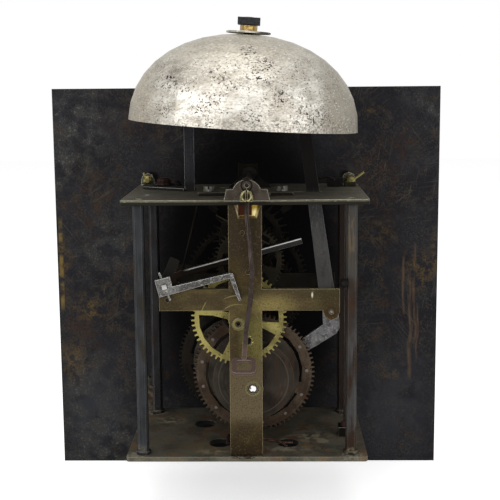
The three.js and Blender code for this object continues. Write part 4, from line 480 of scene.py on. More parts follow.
bar.over((bar.pits(1.2, 0.3, 0.25), 0.7), "1f1a12", 0.7, 0.4)
bar.over(bar.pits(4.3, 0.07, 0.16), "7b7257", 0.45)
for radius in (11.5, 16.5, 22):
    scribed = bar.meet(bar.circle(SECOND_CENTRE, radius, 0.2, 0.35), arms)
    bar.over((scribed, bar.clouds(8, 0.4, 0.6)), "6e6544", 0.43)
bar.over(bar.near(on_bar(SECOND_CENTRE), 3.6, 0.15), "665f3c", 0.44)
bar.over(bar.near(on_bar(SECOND_CENTRE), 2.1, 0.3), "15110b", 0.7, 0.3)
bar.over((bar.circle(STRIKE_CENTRE, 4, 0.4), 0.6), "6a6540", 0.45)
bar.over(bar.circle(STRIKE_CENTRE, 3.2, 0.7), "241d13", 0.6)
bar.over((bar.circle(MISSING_STUD, 2.9, 0.3, 0.3), bar.clouds(1.3, 0.52, 0.58)), "b5a76c", 0.38)
bar.over(bar.near(ARM_FLECK, (0.8, 1, 2.4), 0.9), "b9b49c", 0.36)
bar.over((bar.circle(HAMMER_CENTRE, 2.5, 0.6, 0.5), 0.5), "2e2217", 0.6)
bar.over(bar.worn_edges(), "978d6e", 0.36)
pocket = bar.along("Y", BAR_REAR - 0.05, BAR_REAR - 0.3)
pocket = bar.meet(pocket, bar.along("Z", POCKET_LOW - 2, POCKET_LOW - 1))
bar.over(pocket, "93792f", 0.42)
# painted highlights: two pale spots on the pocket's golden border
bar.over((pocket, bar.near((-6.5, 44, 143), (5, 5, 4), 0.8)), "e6d69a", 0.34)
bar.over((pocket, bar.near((5.6, 44, 143), (3, 5, 8), 0.8)), "efe6bf", 0.34)
pocket_floor = bar.meet(pocket, bar.within("X", -3.6, 3.4, 0.8))
bar.over((pocket_floor, bar.along("Z", POCKET_LOW + 1, POCKET_LOW + 2)), "3d2016", 0.6, 0.6)
bar.uneven(0.6, 0.04)
bar.uneven(5, 0.1)
bar.done("back_bar")

# the two bars inside: a darker copy of the brass, nearly black with painted shade, with a brown line along
# each arris

bars = Finish("shaded_brass_bars", "1f1b15", 0.6, 0.7, edge=0.5)
bars.over(bars.clouds(14), "151310", 0.65, 0.6)
bars.over((bars.clouds(1.2, 0.56, 0.78, stretch=UPRIGHT_STROKES), 0.5), "2e281d", 0.5)
bars.over(bars.edges(), "453c2b", 0.42)
bars.uneven(0.6, 0.05)
bars.done("middle_bar", "front_bar")

# rolled iron dial, blackened behind: a dull blue-grey sheet with rust, old varnish and scratches;
# the face has cream oil paint, yellowed in patches and finely cracked

dial = Finish("blackened_iron_dial_sheet", "28282b", 0.62, 0.2, shine=0.05)
dial.over(dial.clouds(28, 0.4, 0.62), "202023", 0.64)
dial.over((dial.clouds(10, 0.5, 0.68), 0.8), "303033", 0.62)
dial.over((dial.clouds(9, 0.5, 0.64), dial.clouds(46, 0.42, 0.58)), "352b25", 0.66, 0.15)
dial.over((dial.clouds(3.4, 0.5, 0.66), dial.clouds(26, 0.48, 0.62)), "37352f", 0.64, 0.2)
dial.over((dial.clouds(1.7, 0.46, 0.62, detail=6), 0.6), "1e1e25", 0.62)
freckles = dial.clouds(1.3, 0.52, 0.66, detail=5, turn=(0, 40, 0))
dial.over((freckles, dial.clouds(12, 0.4, 0.6)), "38322b", 0.64)

# where on the back each stain gathers: its middle and its reach, across and up

BROWNED = (
    ((-84, 150), (30, 46)),
    ((-100, 176), (20, 22)),
    ((74, 188), (34, 20)),
    ((104, 130), (18, 40)),
    ((112, 40), (20, 44)),
)
DUSTY = (
    ((108, 190), (40, 40)),
    ((126, 160), (22, 22)),
    ((116, 10), (44, 44)),
    ((100, -30), (44, 44)),
    ((-122, 196), (20, 20)),
    ((96, 110), (30, 30)),
)
GOLDEN = (
    ((128, 96), (12, 30)),
    ((120, 30), (14, 22)),
    ((-96, 22), (14, 12)),
    ((108, 66), (20, 16)),
    ((-124, 100), (6, 24)),
    ((-88, 116), (14, 16)),
    ((-112, 90), (16, 22)),
    ((-84, 196), (12, 6)),
)
BLUED = (((-98, 0), (40, 60)), ((108, 0), (30, 50)))
DEEP = (((-80, 186), (40, 40)), ((-88, 118), (26, 34)))
STAIN_DEEP = 20


def stains(spots, *ragged):
    """Each stain in turn, broken up by clouds."""
    for (x, z), (wide, high) in spots:
        spot = dial.near((x, DIAL_BACK, z), (wide, STAIN_DEEP, high), 1)
        yield dial.meet(spot, dial.clouds(*ragged))


for browned in stains(BROWNED, 7, 0.4, 0.62):
    dial.over((browned, dial.clouds(1.6, 0.36, 0.6, detail=6)), "382a22", 0.66, 0.15)
for dusty in stains(DUSTY, 9, 0.4, 0.6):
    dial.over((dusty, 0.45), "444645", 0.7, 0.1)
    dial.over((dusty, dial.clouds(1.3, 0.54, 0.7, detail=3)), "5d5e5b", 0.7, 0.1)
for golden in stains(GOLDEN, 4.5, 0.42, 0.6):
    dial.over((golden, dial.clouds(1.4, 0.34, 0.6, detail=6)), "5a4a2f", 0.6, 0.25)
rim = dial.meet(dial.within("X", 125.5, 127, 1), dial.within("Z", 71, 119, 10))
dial.over((rim, dial.clouds(6, 0.35, 0.6)), "6e5c33", 0.55, 0.3)
for blued in stains(BLUED, 16, 0.25, 0.5):
    dial.over((blued, 0.7), "35363a", 0.62)
for deep in stains(DEEP, 5, 0.36, 0.56):
    dial.over((deep, 0.7), "19191d", 0.64)
crisp = dial.meet(dial.clouds(0.9, 0.52, 0.62, detail=4, turn=(0, 20, 0)), dial.clouds(18, 0.42, 0.6))
dial.over((crisp, 0.6), "403e39", 0.62)
RUNS = (
    (-103, 98, 66, 1.1, 4),
    (-107, 84, 22, 1.7, 3),
    (-110, 104, 44, 1.2, 4),
    (-112, 62, 34, 0.9, 3),
)
for run in RUNS:
    dial.over((dial.run(*run), dial.clouds(2.4, 0.3, 0.66, stretch=(1, 1, 5)), 0.8), "5c4a3a", 0.65, 0.15)
for lean, apart, length in ((36, 27, 34), (-52, 33, 50), (79, 29, 26), (6, 39, 60)):
    scratches = dial.clouds(0.6, 0.665, 0.73, detail=1, stretch=(length, 1, 1), turn=(0, lean, 0))
    here = dial.meet(dial.clouds(apart, 0.48, 0.62), dial.along("Z", 20, 60))
    dial.over((scratches, here, 0.55), "4e493f", 0.55, 0.3)
dial.over(dial.pits(4.2, 0.1, 0.25), "8b8b84", 0.6, 0.1)
# painted shadow: near black on the back behind the movement and under the bell, and again low down behind
# and below the bottom plate
dial.over(dial.near((0, DIAL_BACK, 88), (82, 60, 126), 0.4), "0c0b0c", 0.75, 0.1)
dial.over(dial.near((-4, DIAL_BACK, -20), (72, 60, 50), 0.6), "0c0b0c", 0.75, 0.1)
dial.over(dial.edges(), "5a564c", 0.48, 0.6)
dial.uneven(1.0, 0.05)
dial.uneven(14, 0.22)
face = dial.along("Y", DIAL_FRONT + 0.5, DIAL_FRONT + 0.1)
dial.over(face, "d9d2bd", 0.4, 0.0)
dial.over((face, dial.clouds(35, 0.45, 0.65)), "c9bfa3", 0.45)
dial.over((face, dial.clouds(4, 0.66, 0.7)), "a2957a", 0.55)
dial.over((face, dial.hairlines(9, 0.2), dial.clouds(30, 0.4, 0.6), 0.5), "a89c80", 0.5)
dial.done("dial_plate")

# turned brass feet that hold the dial: olive and dull, bright only round their ends

feet = Finish("turned_brass_dial_feet", "7b7245", 0.4)
feet.over(feet.clouds(3, 0.42, 0.66), "575036", 0.5)
feet.over(feet.edges(), "d0c68c", 0.3)
feet.over(feet.corners(2.5), "1f1b12", 0.7, 0.4)
feet.over(feet.along("Y", -46, -49), "14110d", 0.7, 0.4)
feet.over(feet.along("Z", 60, 40), "2c2a26", 0.55, 0.7)
feet.uneven(0.6, 0.05)
feet.done("dial_foot_upper_left", "dial_foot_upper_right", "dial_foot_lower_left", "dial_foot_lower_right")

# forge-black iron block beside them: no shine but along its arrises

block = Finish("blackened_iron_block", "100f0e", 0.65, 0.3)
block.over(block.clouds(2.5), "191715", 0.7)
block.over(block.edges(), "3d3b36", 0.45, 0.7)
block.uneven(0.8, 0.05)
rough_iron = block.done("wedge_block")

# filed iron cock, gone brown: purple in the hollows, worn pale grey along its outline and paler still
# there as a painted highlight, with painted light on the faces that look up

cock = Finish("browned_iron_cock", "403a33", 0.5, 0.9, edge=0.7)
cock.over(cock.clouds(5, 0.4, 0.66), "332d27", 0.56, 0.8)
cock.over((cock.clouds(0.8, 0.5, 0.74), 0.6), "565047", 0.44)
cock.over(cock.corners(3), "12100d", 0.75, 0.3)
cock.over(cock.along("Y", 52, 50), "1f1c18", 0.6, 0.7)
# painted light: the up-facing faces of the feet lighter
cock.over((cock.along("Y", 48, 46), cock.facing_up()), "4c4941", 0.48)
cock.over((cock.worn_edges(), cock.along("Y", 50, 53)), "a8a494", 0.36, 1.0)
cock.over((cock.worn_edges(), cock.along("Y", 48, 46)), "93907f", 0.38, 1.0)
cock.over(cock.circle(PALLET_CENTRE, 2.9, 0.5), "1a1613", 0.6)
cock.uneven(0.6, 0.05)
cock.done("back_cock")

# hammered iron crutch: warm brown and uneven, with long faint strokes of painted highlight up its top part

iron = Finish("forged_iron_crutch", "312a26", 0.58, 0.7, edge=0.5)
iron.over(iron.clouds(4, 0.4, 0.64), "3c3330", 0.62, 0.55)
iron.over(iron.along("Z", 112, 150), "261f18", 0.6, 0.6)
iron.over(iron.along("Z", 74, 66), "554640", 0.62, 0.35)
iron.over((iron.clouds(0.9, 0.54, 0.72, stretch=(1, 1, 2)), 0.6), "564c48", 0.52, 0.7)
# painted highlight: long faint pale strokes up the top of the rod
painted_highlight_strokes = iron.meet(iron.clouds(0.8, 0.5, 0.72, stretch=(1, 1, 14)), iron.within("Z", 116, 152, 6))
iron.over((painted_highlight_strokes, 0.7), "564d47", 0.48, 0.9)
iron.over(iron.corners(3), "151110", 0.7, 0.3)
iron.over((iron.worn_edges(), iron.along("Z", 90, 60)), "94857a", 0.44, 0.9)
iron.uneven(1.0, 0.12)
iron.done("crutch")

# polished brass block for the pendulum: smooth enough to mirror, with light lines round its outline

SUSPENSION_CENTRE = (-1.4, 154.6)
brass = Finish("polished_brass_block", "56513a", 0.38, edge=0.5)
brass.over(brass.clouds(1.6), "37311d", 0.48)
brass.over((brass.circle(SUSPENSION_CENTRE, 2.6, 0.3), brass.clouds(1.4, 0.4, 0.6)), "a8a278", 0.34)
brass.over(brass.near((-1.4, 61, 154.4), 2.5, 0.5), "1a170e", 0.6, 0.6)
brass.over(brass.worn_edges(), "b9b389", 0.3)
brass.uneven(0.6, 0.04)
brass.done("suspension_block")

# steel that the clockmaker kept bright: pale grey, scratched and lightly pitted

bright = Finish("bright_pitted_steel", "605f5c", 0.42, edge=0.5)
bright.over(bright.clouds(3, 0.4, 0.66), "4b4947", 0.48)
bright.over((bright.along("X", 40, 34), 0.75), "3f3d3b", 0.5)
bright.over((bright.along("Z", 102, 98), bright.along("X", 14, 10)), "5c5a57", 0.44)
bright.over((bright.clouds(0.8, 0.52, 0.72, detail=2), 0.7), "9b9a96", 0.36)
bright.over(bright.pits(1.0, 0.34, 0.5), "24211f", 0.65, 0.6)
bright.over(bright.corners(2), "191716", 0.65, 0.5)
bright.over(bright.worn_edges(), "c9c8c4", 0.28)
bright.uneven(0.5, 0.04)
bright.relief(bright.pits(1.0, 0.34, 0.5), -0.06)
bright.done("countwheel_detent", "detent_taper_pin")

# forged and filed steel hammer: dark and blotched up the shaft, paler and scraped on its tail

hammer = Finish("forged_steel_hammer", "464543", 0.48, edge=0.6)
hammer.over(hammer.along("Z", 112, 160), "242527", 0.52)
hammer.over((hammer.clouds(5, 0.44, 0.66, stretch=(1, 1, 2)), 0.7), "343231", 0.54)
hammer.over((hammer.clouds(1.2, 0.5, 0.7, stretch=(1, 1, 7)), 0.5), "555250", 0.46)
hammer.over((hammer.clouds(0.8, 0.52, 0.74, detail=3), 0.5), "58595c", 0.44)
tail = hammer.along("Z", 84, 76)
hammer.over(tail, "5f5e5e", 0.46)
hammer.over((tail, hammer.clouds(3, 0.46, 0.62)), "4a4949", 0.5)
hammer.over((tail, hammer.clouds(1.0, 0.54, 0.7)), "7c7b79", 0.42)
hammer.over(hammer.along("Z", 149, 154), "1a1817", 0.58, 0.8)
hammer.over(hammer.pits(1.6, 0.34, 0.35), "1b1815", 0.7, 0.6)
hammer.over((hammer.worn_edges(), hammer.along("Z", 190, 110)), "6f7073", 0.36)
hammer.over((hammer.worn_edges(), hammer.along("Z", 80, 74)), "b3b2af", 0.32)
hammer.uneven(0.7, 0.05)
hammer.done("hammer")

# filed steel locking lever: brown-black on its faces, and filed bright along the top

LEVER_FOOT = (44.2, 94.3)
LEVER_SLOPE = 15.2
LEVER_TOP = 9.1

lever = Finish("filed_steel_locking_lever", "1a1613", 0.55, 0.8, edge=0.3)
lever.over(lever.clouds(6, 0.4, 0.66), "241b16", 0.58)
lever.over((lever.along("X", 2, -10), lever.clouds(1, 0.2, 0.5)), "2d2b29", 0.46, 1.0)
inputs = {
    "Vector": lever.place,
    "Center": (LEVER_FOOT[0] * MM, 0, LEVER_FOOT[1] * MM),
    "Axis": (0, 1, 0),
    "Angle": math.radians(-LEVER_SLOPE),
}
levelled = add(lever.tree, "VectorRotate", inputs, rotation_type="AXIS_ANGLE").outputs["Vector"]
rise = add(lever.tree, "SeparateXYZ", {"Vector": levelled}).outputs["Z"]
top = LEVER_FOOT[1] + LEVER_TOP
filed_top = lever.ranged(rise, (top - 1.3) * MM, (top - 0.9) * MM)
lever.over((filed_top, lever.along("X", 38, 34)), "b4b3b0", 0.36, 1.0)
lever.over(lever.facing_up(), "b8b7b4", 0.36, 1.0)
lever.over((lever.edges(), lever.along("X", 6, 0)), "9b9995", 0.3)
lever.uneven(0.6, 0.04)
lever.done("locking_lever")

# forged iron detent arbor: brown and slightly lumpy, with a bright stud end

iron = Finish("browned_iron_detent_arbor", "27211d", 0.54, 0.8)
iron.over(iron.clouds(4, 0.4, 0.66), "221d19", 0.58, 0.8)
iron.over((iron.clouds(0.8, 0.5, 0.72), 0.6), "453d35", 0.44)
iron.over(iron.near((45.2, 50, 102.6), 3.4, 0.3), "a5a4a1", 0.36, 1.0)
iron.over(iron.along("Z", 102, 107), "171512", 0.6, 0.6)
iron.over(iron.edges(), "4d473e", 0.4)
iron.uneven(0.6, 0.06)
iron.done("detent_arbor")

# steel deep inside: nearly black with painted shade, and smooth

iron = Finish("shaded_steel_inside_work", "1e1b19", 0.55, 0.8)
iron.over(iron.clouds(6, 0.4, 0.66), "151312", 0.6, 0.7)
iron.over(iron.edges(), "3b3732", 0.38)
iron.uneven(0.6, 0.05)
dark_work = iron.done("anchor", "strike_click", "locking_hoop")

# springs, hardened and let down again: brown-black, bright only where they rub

steel = filed_steel("tempered_steel_springs", "201b19", "171312", "312c29", 10, "281c16")
steel.over(steel.worn_edges(), "8a8781", 0.36, 1.0)
springs = steel.done("hammer_spring")

steel = filed_steel("browned_steel_detent_spring", "1c1815", "141110", "28231f", 10, "241914")
steel.done("detent_spring")

# turned steel arbors: dark between the bars, with painted shade deeper in the movement, polished where
# they run in the back bar

arbors = Finish("turned_steel_arbors", "33312f", 0.46, 0.95)
arbors.over(arbors.clouds(4), "232120", 0.54)
arbors.over((arbors.within("Y", 43, 50, 2), arbors.clouds(1, 0.2, 0.6)), "76746e", 0.38)
pivot_end = arbors.near((STRIKE_CENTRE[0], 45.4, STRIKE_CENTRE[1]), (7, 3, 7), 0.1)
arbors.over(pivot_end, "e0deda", 0.3)
arbors.over((pivot_end, arbors.clouds(1.5, 0.5, 0.56, detail=1)), "6b6966", 0.4)
arbors.over((pivot_end, arbors.circle(STRIKE_CENTRE, 2.2, 0.3)), "3c3a37", 0.5)
arbors.over(arbors.near((PALLET_CENTRE[0], 55, PALLET_CENTRE[1]), 4, 0.3), "2a2622", 0.6)
arbors.over(arbors.near(on_bar(SECOND_CENTRE), 3, 0.2), "17130e", 0.6)
for centre in (WARNING_CENTRE, FLY_CENTRE):
    arbors.over(arbors.near(on_bar(centre), 2.4, 0.2), "3a3226", 0.55)
arbors.over(arbors.edges(), "6f6d68", 0.34)
# painted shade: darker deeper into the movement
arbors.over((arbors.along("Y", 36, 24), 0.75), "191817", 0.6, 0.6)
arbors.over(arbors.corners(2.5), "121110", 0.7, 0.4)
arbors.uneven(0.5, 0.03, stretch=(1, 8, 1))
going_arbors = "going_great_arbor", "going_second_arbor", "escape_arbor", "pallet_arbor"
strike_arbors = "strike_great_arbor", "strike_second_arbor", "warning_arbor", "fly_arbor", "hammer_arbor"
arbors.done(*going_arbors, *strike_arbors)


def cut_brass(name, body, shade, bright, centre, tips):
    """A wheel cut from turned sheet brass: lathe circles, dark between the teeth, tips worn bright."""
    brass = Finish(name, body, 0.48, 0.95, edge=0.3)
    brass.over(brass.clouds(8, 0.4, 0.66), shade, 0.54, 0.85)
    brass.over((brass.ranged(brass.rings(centre, 0.8), 0.55, 0.78), 0.6), bright, 0.44)
    brass.over((brass.clouds(0.9, 0.52, 0.72, detail=3), 0.5), shade, 0.56)
    brass.over(brass.pits(1.3, 0.32, 0.4), "1f1b12", 0.7, 0.4)
    brass.over(brass.corners(1.3, 0.4, 0.85), "100d08", 0.78, 0.3)
    brass.over(brass.worn_edges(), tips, 0.36)
    brass.relief(brass.rings(centre, 0.6), 0.03)
    brass.uneven(0.6, 0.03)
    return brass


# one wheel kept its yellow; the pinned great wheel has browned with oil; the rest are darker copies,
# painted shade deep in the movement

second = cut_brass("yellow_brass_second_wheel", "89804e", "6b633a", "9a8f59", SECOND_CENTRE, "968c5c")
second.over((second.along("X", 12, 30), 0.7), "958b52", 0.42)
second.done("strike_second_wheel")

PIN_HEADS = (10.05, 10.2)
great = cut_brass("brown_brass_great_wheel", "453b31", "352c25", "53483a", STRIKE_CENTRE, "565042")
great.over((great.clouds(10, 0.5, 0.62), 0.6), "412e23", 0.6, 0.6)
great.over(great.along("Y", *PIN_HEADS), "66615a", 0.5)
great.done("strike_great_wheel")

brass = cut_brass("shaded_brass_going_wheels", "1f1c18", "151311", "2b2620", GOING_CENTRE, "3d372e")
going_wheels = "going_great_wheel", "going_second_wheel", "escape_wheel"
brass.done(*going_wheels, "motion_drive_wheel", "minute_wheel", "hour_wheel")
brass = cut_brass("shaded_brass_warning_wheel", "28251d", "1c1a15", "343026", WARNING_CENTRE, "524a3b")
brass.done("warning_wheel", "fly_vane")

# turned iron sprocket: lathe circles wide enough to read, brown dirt on the side away from the window

iron = Finish("turned_iron_sprocket", "312c26", 0.55, 0.8, edge=0.4)
iron.over(iron.clouds(12, 0.4, 0.64), "25211d", 0.6, 0.7)
iron.over((iron.rings(STRIKE_CENTRE, 1.2), iron.clouds(10, 0.4, 0.7)), "433d35", 0.46)
grain = iron.clouds(2.2, 0.44, 0.66, stretch=(1, 1, 8))
iron.over((grain, iron.along("X", -6, -20)), "3a2b22", 0.57, 0.6)
iron.over(iron.worn_edges(), "55503f", 0.38)
iron.over((iron.circle(STRIKE_CENTRE, 20.5, 0.2), 0.6), "4b4740", 0.46)
iron.over(iron.corners(3), "0d0b09", 0.8, 0.3)
iron.relief(iron.rings(STRIKE_CENTRE, 0.7), 0.06)
iron.done("strike_sprocket", "going_sprocket")

# blued steel hands: deep blue, the only glossy metal, thin bright lines along their arrises

hands = Finish("blued_steel_hands", "1b1e2a", 0.34, 0.9, shine=0.5)
hands.over(hands.clouds(6), "262a3a", 0.4)
hands.over(hands.edges(), "4c5468", 0.28)
hands.uneven(0.6, 0.01)
hands.done("hour_hand", "minute_hand")


def paint(name, colour, worn):
    """Oil paint laid on by hand: dull, a little uneven, and rubbed thin in places."""
    coat = Finish(name, colour, 0.5, 0.0, edge=0.05, shine=0.3)
    coat.over(coat.clouds(2.5, 0.5, 0.7), worn, 0.6)
    coat.uneven(0.7, 0.01)
    return coat.done()


BLACK_PAINT = paint("black_numeral_paint", "1c1a18", "3a352e")
RED_PAINT = paint("red_flower_paint", "7d2f24", "9c5a45")
GREEN_PAINT = paint("green_leaf_paint", "3f4d30", "66704d")

# small pieces that lie on the plates, and what is painted on the face


def keep(name, shape, material):
    """Makes a finished shape into a piece of the movement, fixed to its frame."""
    bmesh.ops.recalc_face_normals(shape, faces=shape.faces)
    mesh = bpy.data.meshes.new(name)
    shape.to_mesh(mesh)
    shape.free()
    mesh.materials.append(material)
    piece = bpy.data.objects.new(name, mesh)
    bpy.context.collection.objects.link(piece)
    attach(piece, "frame")


def forge(path, sides=10, beside=None):
    """Round stock along a path of places and radii in millimetres, closed at both ends."""
    shape = beside or bmesh.new()
    places = [Vector(point[:3]) for point in path]
    rings = []
    for index, (place, point) in enumerate(zip(places, path)):
        course = (places[min(index + 1, len(places) - 1)] - places[max(index - 1, 0)]).normalized()
        across = across - across.dot(course) * course if rings else course.orthogonal()
        across.normalize()
        sideways = course.cross(across)
        turns = [2 * math.pi * side / sides for side in range(sides)]
        outward = [math.cos(turn) * across + math.sin(turn) * sideways for turn in turns]
        rings.append([shape.verts.new((place + point[3] * away) * MM) for away in outward])
    for low, high in zip(rings, rings[1:]):
        for side in range(sides):
            after = (side + 1) % sides
            shape.faces.new((low[side], low[after], high[after], high[side])).smooth = True
    shape.faces.new(rings[0][::-1])
    shape.faces.new(rings[-1])
    return shape


def bent(points, radius, steps=6):
    """A smooth path through places in millimetres, all of one radius."""
    ends = [points[0], *points, points[-1]]
    path = []
    for before, start, end, after in zip(ends, ends[1:], ends[2:], ends[3:]):
        for step in range(steps):
            t = step / steps
            shares = (
                (-t + 2 * t**2 - t**3) / 2,
                (2 - 5 * t**2 + 3 * t**3) / 2,
                (t + 4 * t**2 - 3 * t**3) / 2,
                (-(t**2) + t**3) / 2,
            )
            pulls = tuple(zip(shares, (before, start, end, after)))
            place = [sum(share * point[axis] for share, point in pulls) for axis in range(3)]
            path.append((*place, radius))
    return [*path, (*points[-1], radius)]


def filed_block(low, high, arris):
    """A block between two corners in millimetres, with its arrises taken off."""
    shape = bmesh.new()
    size = [b - a for a, b in zip(low, high)]
    middle = [(a + b) / 2 * MM for a, b in zip(low, high)]
    matrix = Matrix.Translation(middle) @ Matrix.Diagonal([*(s * MM for s in size), 1])
    made = bmesh.ops.create_cube(shape, size=1, matrix=matrix)
    edges = {edge for vert in made["verts"] for edge in vert.link_edges}
    bmesh.ops.bevel(shape, geom=list(edges), offset=arris * MM, segments=2, affect="EDGES", profile=0.5)
    return shape


# drawn copper wire, browned: dull, and only faintly red

WIRE_RADIUS = 0.5
WIRE_LEVEL = BOTTOM_PLATE_TOP + WIRE_RADIUS
WIRES = (
    ((-8, 15.6), (-14.5, 18), (-19.3, 21.7), (-23.4, 30.7)),
    ((-8, 19), (-14, 20.4), (-20, 23.5), (-27, 23.8)),
)
copper = Finish("old_copper_wire", "584238", 0.5, 0.9)
copper.over(copper.clouds(2), "3f2b23", 0.58, 0.7)
copper.uneven(0.6, 0.03)
wire = None
for bends in WIRES:
    wire = forge(bent([(*bend, WIRE_LEVEL) for bend in bends], WIRE_RADIUS), beside=wire)
keep("copper_wire_scraps", wire, copper.done())

STUB_RADII = ((13, 0.91), (14, 1.3), (20, 1.3), (26, 1.235), (28.5, 0.78))
stub = forge([(11.6, y, BOTTOM_PLATE_TOP + radius, radius) for y, radius in STUB_RADII])
keep("rusted_iron_stub", stub, rusty_screw)

LUMP = ((43, -24, 151, 2.2), (43.2, -24, 152.6, 2.6), (43.8, -23.6, 154.6, 2.2), (44.1, -23.4, 155.6, 1.2))
keep("dark_lump_beside_stand", forge(LUMP), rough_iron)

# sawn brass packing, oily: brown-black on its faces, with yellow arrises

foot_block = filed_block((-67.3, -32, TOP_PLATE_TOP - 0.1), (-60, -25.9, 154.2), 0.4)
packing = Finish("oiled_brass_packing_block", "2a271c", 0.5, 0.9)
packing.over(packing.clouds(2.5), "1d1a13", 0.6, 0.7)
packing.over(packing.edges(), "a69d70", 0.34, 1.0)
packing.uneven(0.8, 0.05)
keep("brass_block_under_dial_foot", foot_block, packing.done())

CLIP_BENDS = ((-42.2, 151.4), (-42.6, 155), (-44.5, 157.6), (-49, 158.6), (-53.3, 156.6))
clip = bent([(x, -10, z) for x, z in CLIP_BENDS], 0.6)
keep("bent_steel_clip", forge(clip), springs)

RIVET_RADII = ((42.6, 1.56), (43.8, 2.6), (45.6, 2.6), (46, 1.82), (47.2, 1.82), (47.8, 1.04))
knob = forge([(-55.4, y, 103.6, radius) for y, radius in RIVET_RADII], sides=16)
keep("arm_end_rivet", knob, dark_work)

PAINT_THICK = 0.12
THIN_COAT = 0.8 * PAINT_THICK


def fill(shape, outline, coat):
    """A patch of paint on the face, its outline given in millimetres from the dial's centre."""
    layers = []
    for y in (DIAL_FRONT + 0.02, DIAL_FRONT - coat):
        places = [Vector((DIAL_CENTRE[0] + x, y, DIAL_CENTRE[1] + z)) for x, z in outline]
        layers.append([shape.verts.new(place * MM) for place in places])
    back, front = layers
    shape.faces.new(back[::-1])
    shape.faces.new(front)
    for index in range(len(outline)):
        after = (index + 1) % len(outline)
        shape.faces.new((back[index], back[after], front[after], front[index]))


def brush(shape, ends, width, coat):
    """One flat stroke of paint on the face between two places round the dial's centre."""
    start, end = (Vector(place) for place in ends)
    side = (end - start).normalized().orthogonal() * width / 2
    fill(shape, [start + side, start - side, end - side, end + side], coat)


def painted_ring(shape, inner, outer, steps=120):
    """A thin painted circle round the dial's centre."""
    for index in range(steps):
        start, end = (2 * math.pi * step / steps for step in (index, index + 1))
        corners = ((inner, start), (outer, start), (outer, end), (inner, end))
        outline = [(away * math.sin(turn), away * math.cos(turn)) for away, turn in corners]
        fill(shape, outline, PAINT_THICK)


NUMERALS = ("I", "II", "III", "IIII", "V", "VI", "VII", "VIII", "IX", "X", "XI", "XII")
LETTER_WIDTHS = {"I": 5.4, "V": 11.5, "X": 11.5}
NUMERAL_LOW = 84
NUMERAL_HIGH = 104
THICK_STROKE = 3
THIN_STROKE = 1.1
SERIF = 0.9


def letter_strokes(letter, left):
    """The strokes of one Roman letter as places along and up, and widths."""
    low, high = NUMERAL_LOW, NUMERAL_HIGH
    middle = left + LETTER_WIDTHS[letter] / 2
    inset = THICK_STROKE / 2 + 0.7
    start = left + inset
    end = left + LETTER_WIDTHS[letter] - inset
    strokes = {
        "I": [((middle, low), (middle, high), THICK_STROKE)],
        "V": [((start, high), (middle, low), THICK_STROKE), ((end, high), (middle, low), THIN_STROKE)],
        "X": [((start, high), (end, low), THICK_STROKE), ((start, low), (end, high), THIN_STROKE)],
    }
    return strokes[letter]


numerals = bmesh.new()
for hour, numeral in enumerate(NUMERALS, 1):
    turn = Matrix.Rotation(-math.radians(30 * hour), 2)
    left = -sum(LETTER_WIDTHS[letter] for letter in numeral) / 2
    whole = -left
    for letter in numeral:
        for start, end, width in letter_strokes(letter, left):
            brush(numerals, (turn @ Vector(start), turn @ Vector(end)), width, PAINT_THICK)
        left += LETTER_WIDTHS[letter]
    for level in (NUMERAL_LOW, NUMERAL_HIGH):
        ends = (turn @ Vector((-whole + 0.3, level)), turn @ Vector((whole - 0.3, level)))
        brush(numerals, ends, SERIF, THIN_COAT)
keep("painted_roman_numerals", numerals, BLACK_PAINT)

INNER_RING = 80.5
MINUTE_RING = (110.5, 116)
RING_HALF = 0.35
ring = bmesh.new()
for radius in (INNER_RING, *MINUTE_RING):
    painted_ring(ring, radius - RING_HALF, radius + RING_HALF)
for minute in range(60):
    turn = Matrix.Rotation(-math.radians(6 * minute), 2)
    width = 1.8 if minute % 5 == 0 else 0.6
    ends = (turn @ Vector((0, MINUTE_RING[0])), turn @ Vector((0, MINUTE_RING[1])))
    brush(ring, ends, width, THIN_COAT)
keep("painted_minute_ring", ring, BLACK_PAINT)

CORNER_REACH = 106
PETALS = 8
PETAL_OUTLINE = ((0, 1.6), (1.7, 4.2), (2, 6.4), (0, 8.2), (-2, 6.4), (-1.7, 4.2))
LEAF_OUTLINE = ((0, 9), (1.9, 12.5), (0, 18.5), (-1.9, 12.5))
flowers = bmesh.new()
leaves = bmesh.new()
for quarter in range(4):
    corner = Matrix.Rotation(math.radians(90 * quarter), 2) @ Vector((CORNER_REACH, CORNER_REACH))
    for petal in range(PETALS):
        turn = Matrix.Rotation(2 * math.pi * petal / PETALS, 2)
        fill(flowers, [corner + turn @ Vector(place) for place in PETAL_OUTLINE], PAINT_THICK)
    outward = Matrix.Rotation(math.radians(90 * quarter - 45), 2)
    for lean in (-128, -90, 90, 128):
        turn = outward @ Matrix.Rotation(math.radians(lean), 2)
        fill(leaves, [corner + turn @ Vector(place) for place in LEAF_OUTLINE], PAINT_THICK)
keep("painted_corner_flowers", flowers, RED_PAINT)
keep("painted_corner_leaves", leaves, GREEN_PAINT)


# floor, white studio and lamps

WORLD_LIGHT = 0.42
FLOOR_SIZE = 6000
FLOOR_GLOW = 0.62


def seen_directly(tree):
    """One for what the eye, a mirror or glass sees, and nought for what lights other things."""
    path = add(tree, "LightPath").outputs
    seen = path["Is Camera Ray"]
    for ray in ("Is Glossy Ray", "Is Transmission Ray"):
        seen = add(tree, "Math", {0: seen, 1: path[ray]}, operation="MAXIMUM").outputs[0]
    return seen


# white paper without a shine, that glows as far as the eye sees it, so that its edge is lost

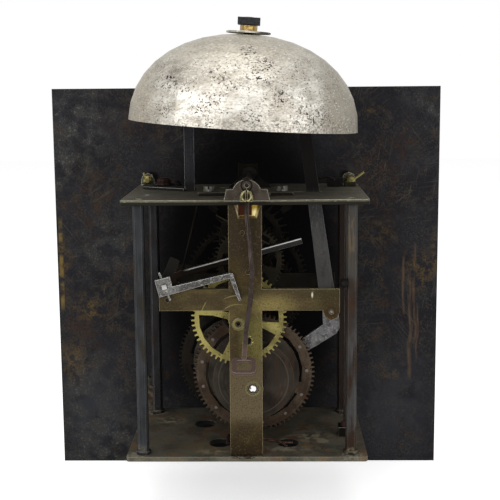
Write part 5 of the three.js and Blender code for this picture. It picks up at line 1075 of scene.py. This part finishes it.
paper = bpy.data.materials.new("white_paper_floor")
paper.use_nodes = True
glow = {0: seen_directly(paper.node_tree), 1: FLOOR_GLOW}
glow = add(paper.node_tree, "Math", glow, operation="MULTIPLY").outputs[0]
sheet = paper.node_tree.nodes["Principled BSDF"].inputs
sheet["Base Color"].default_value = linear("e8e8e8")
sheet["Roughness"].default_value = 0.9
sheet["Specular IOR Level"].default_value = 0.0
sheet["Emission Color"].default_value = linear("ffffff")
paper.node_tree.links.new(glow, sheet["Emission Strength"])

bpy.ops.mesh.primitive_plane_add(size=FLOOR_SIZE * MM, location=(0, 0, FLOOR_LEVEL * MM))
floor = bpy.context.object
floor.name = "studio_floor"
floor.data.materials.append(paper)

world = bpy.data.worlds.new("studio")
world.use_nodes = True
bpy.context.scene.world = world
level = {"Value": seen_directly(world.node_tree), "To Min": WORLD_LIGHT, "To Max": 1.0}
level = add(world.node_tree, "MapRange", level).outputs[0]
studio = world.node_tree.nodes["Background"].inputs
studio["Color"].default_value = linear("ffffff")
world.node_tree.links.new(level, studio["Strength"])


def lamp(name, place, aim, size, watts):
    """A soft square lamp at a place in millimetres, turned to another."""
    data = bpy.data.lights.new(name, "AREA")
    data.size = size * MM
    data.energy = watts
    lamp_object = bpy.data.objects.new(name, data)
    bpy.context.collection.objects.link(lamp_object)
    direction = Vector(aim) - Vector(place)
    lamp_object.rotation_euler = direction.to_track_quat("-Z", "Y").to_euler()
    lamp_object.location = Vector(place) * MM


lamp("window_left", (1000, 1100, 900), (0, 0, 120), 1500, 13)
lamp("window_right", (-1000, 1200, 600), (0, 0, 120), 1300, 8)
lamp("sky_above", (0, 200, 1500), (0, 0, 100), 1200, 8)


def photographer():
    """The camera at the photograph's place, level with it and as wide."""
    yaw, pitch, roll = (math.radians(a) for a in (CAMERA_YAW, CAMERA_PITCH, CAMERA_ROLL))
    ahead = Vector((math.sin(yaw), -math.cos(yaw), 0))
    level_right = Vector((-math.cos(yaw), -math.sin(yaw), 0))
    level_up = math.sin(pitch) * ahead + Vector((0, 0, math.cos(pitch)))
    forward = math.cos(pitch) * ahead - Vector((0, 0, math.sin(pitch)))
    right = math.cos(roll) * level_right - math.sin(roll) * level_up
    up = math.sin(roll) * level_right + math.cos(roll) * level_up
    data = bpy.data.cameras.new("photographer")
    data.lens = CAMERA_LENS
    camera = bpy.data.objects.new("photographer", data)
    bpy.context.collection.objects.link(camera)
    rows = [(*row, place * MM) for row, place in zip(zip(right, up, -forward), CAMERA_PLACE)]
    camera.matrix_world = Matrix([*rows, (0, 0, 0, 1)])
    bpy.context.scene.camera = camera


photographer()
bpy.context.scene.view_settings.view_transform = "Standard"
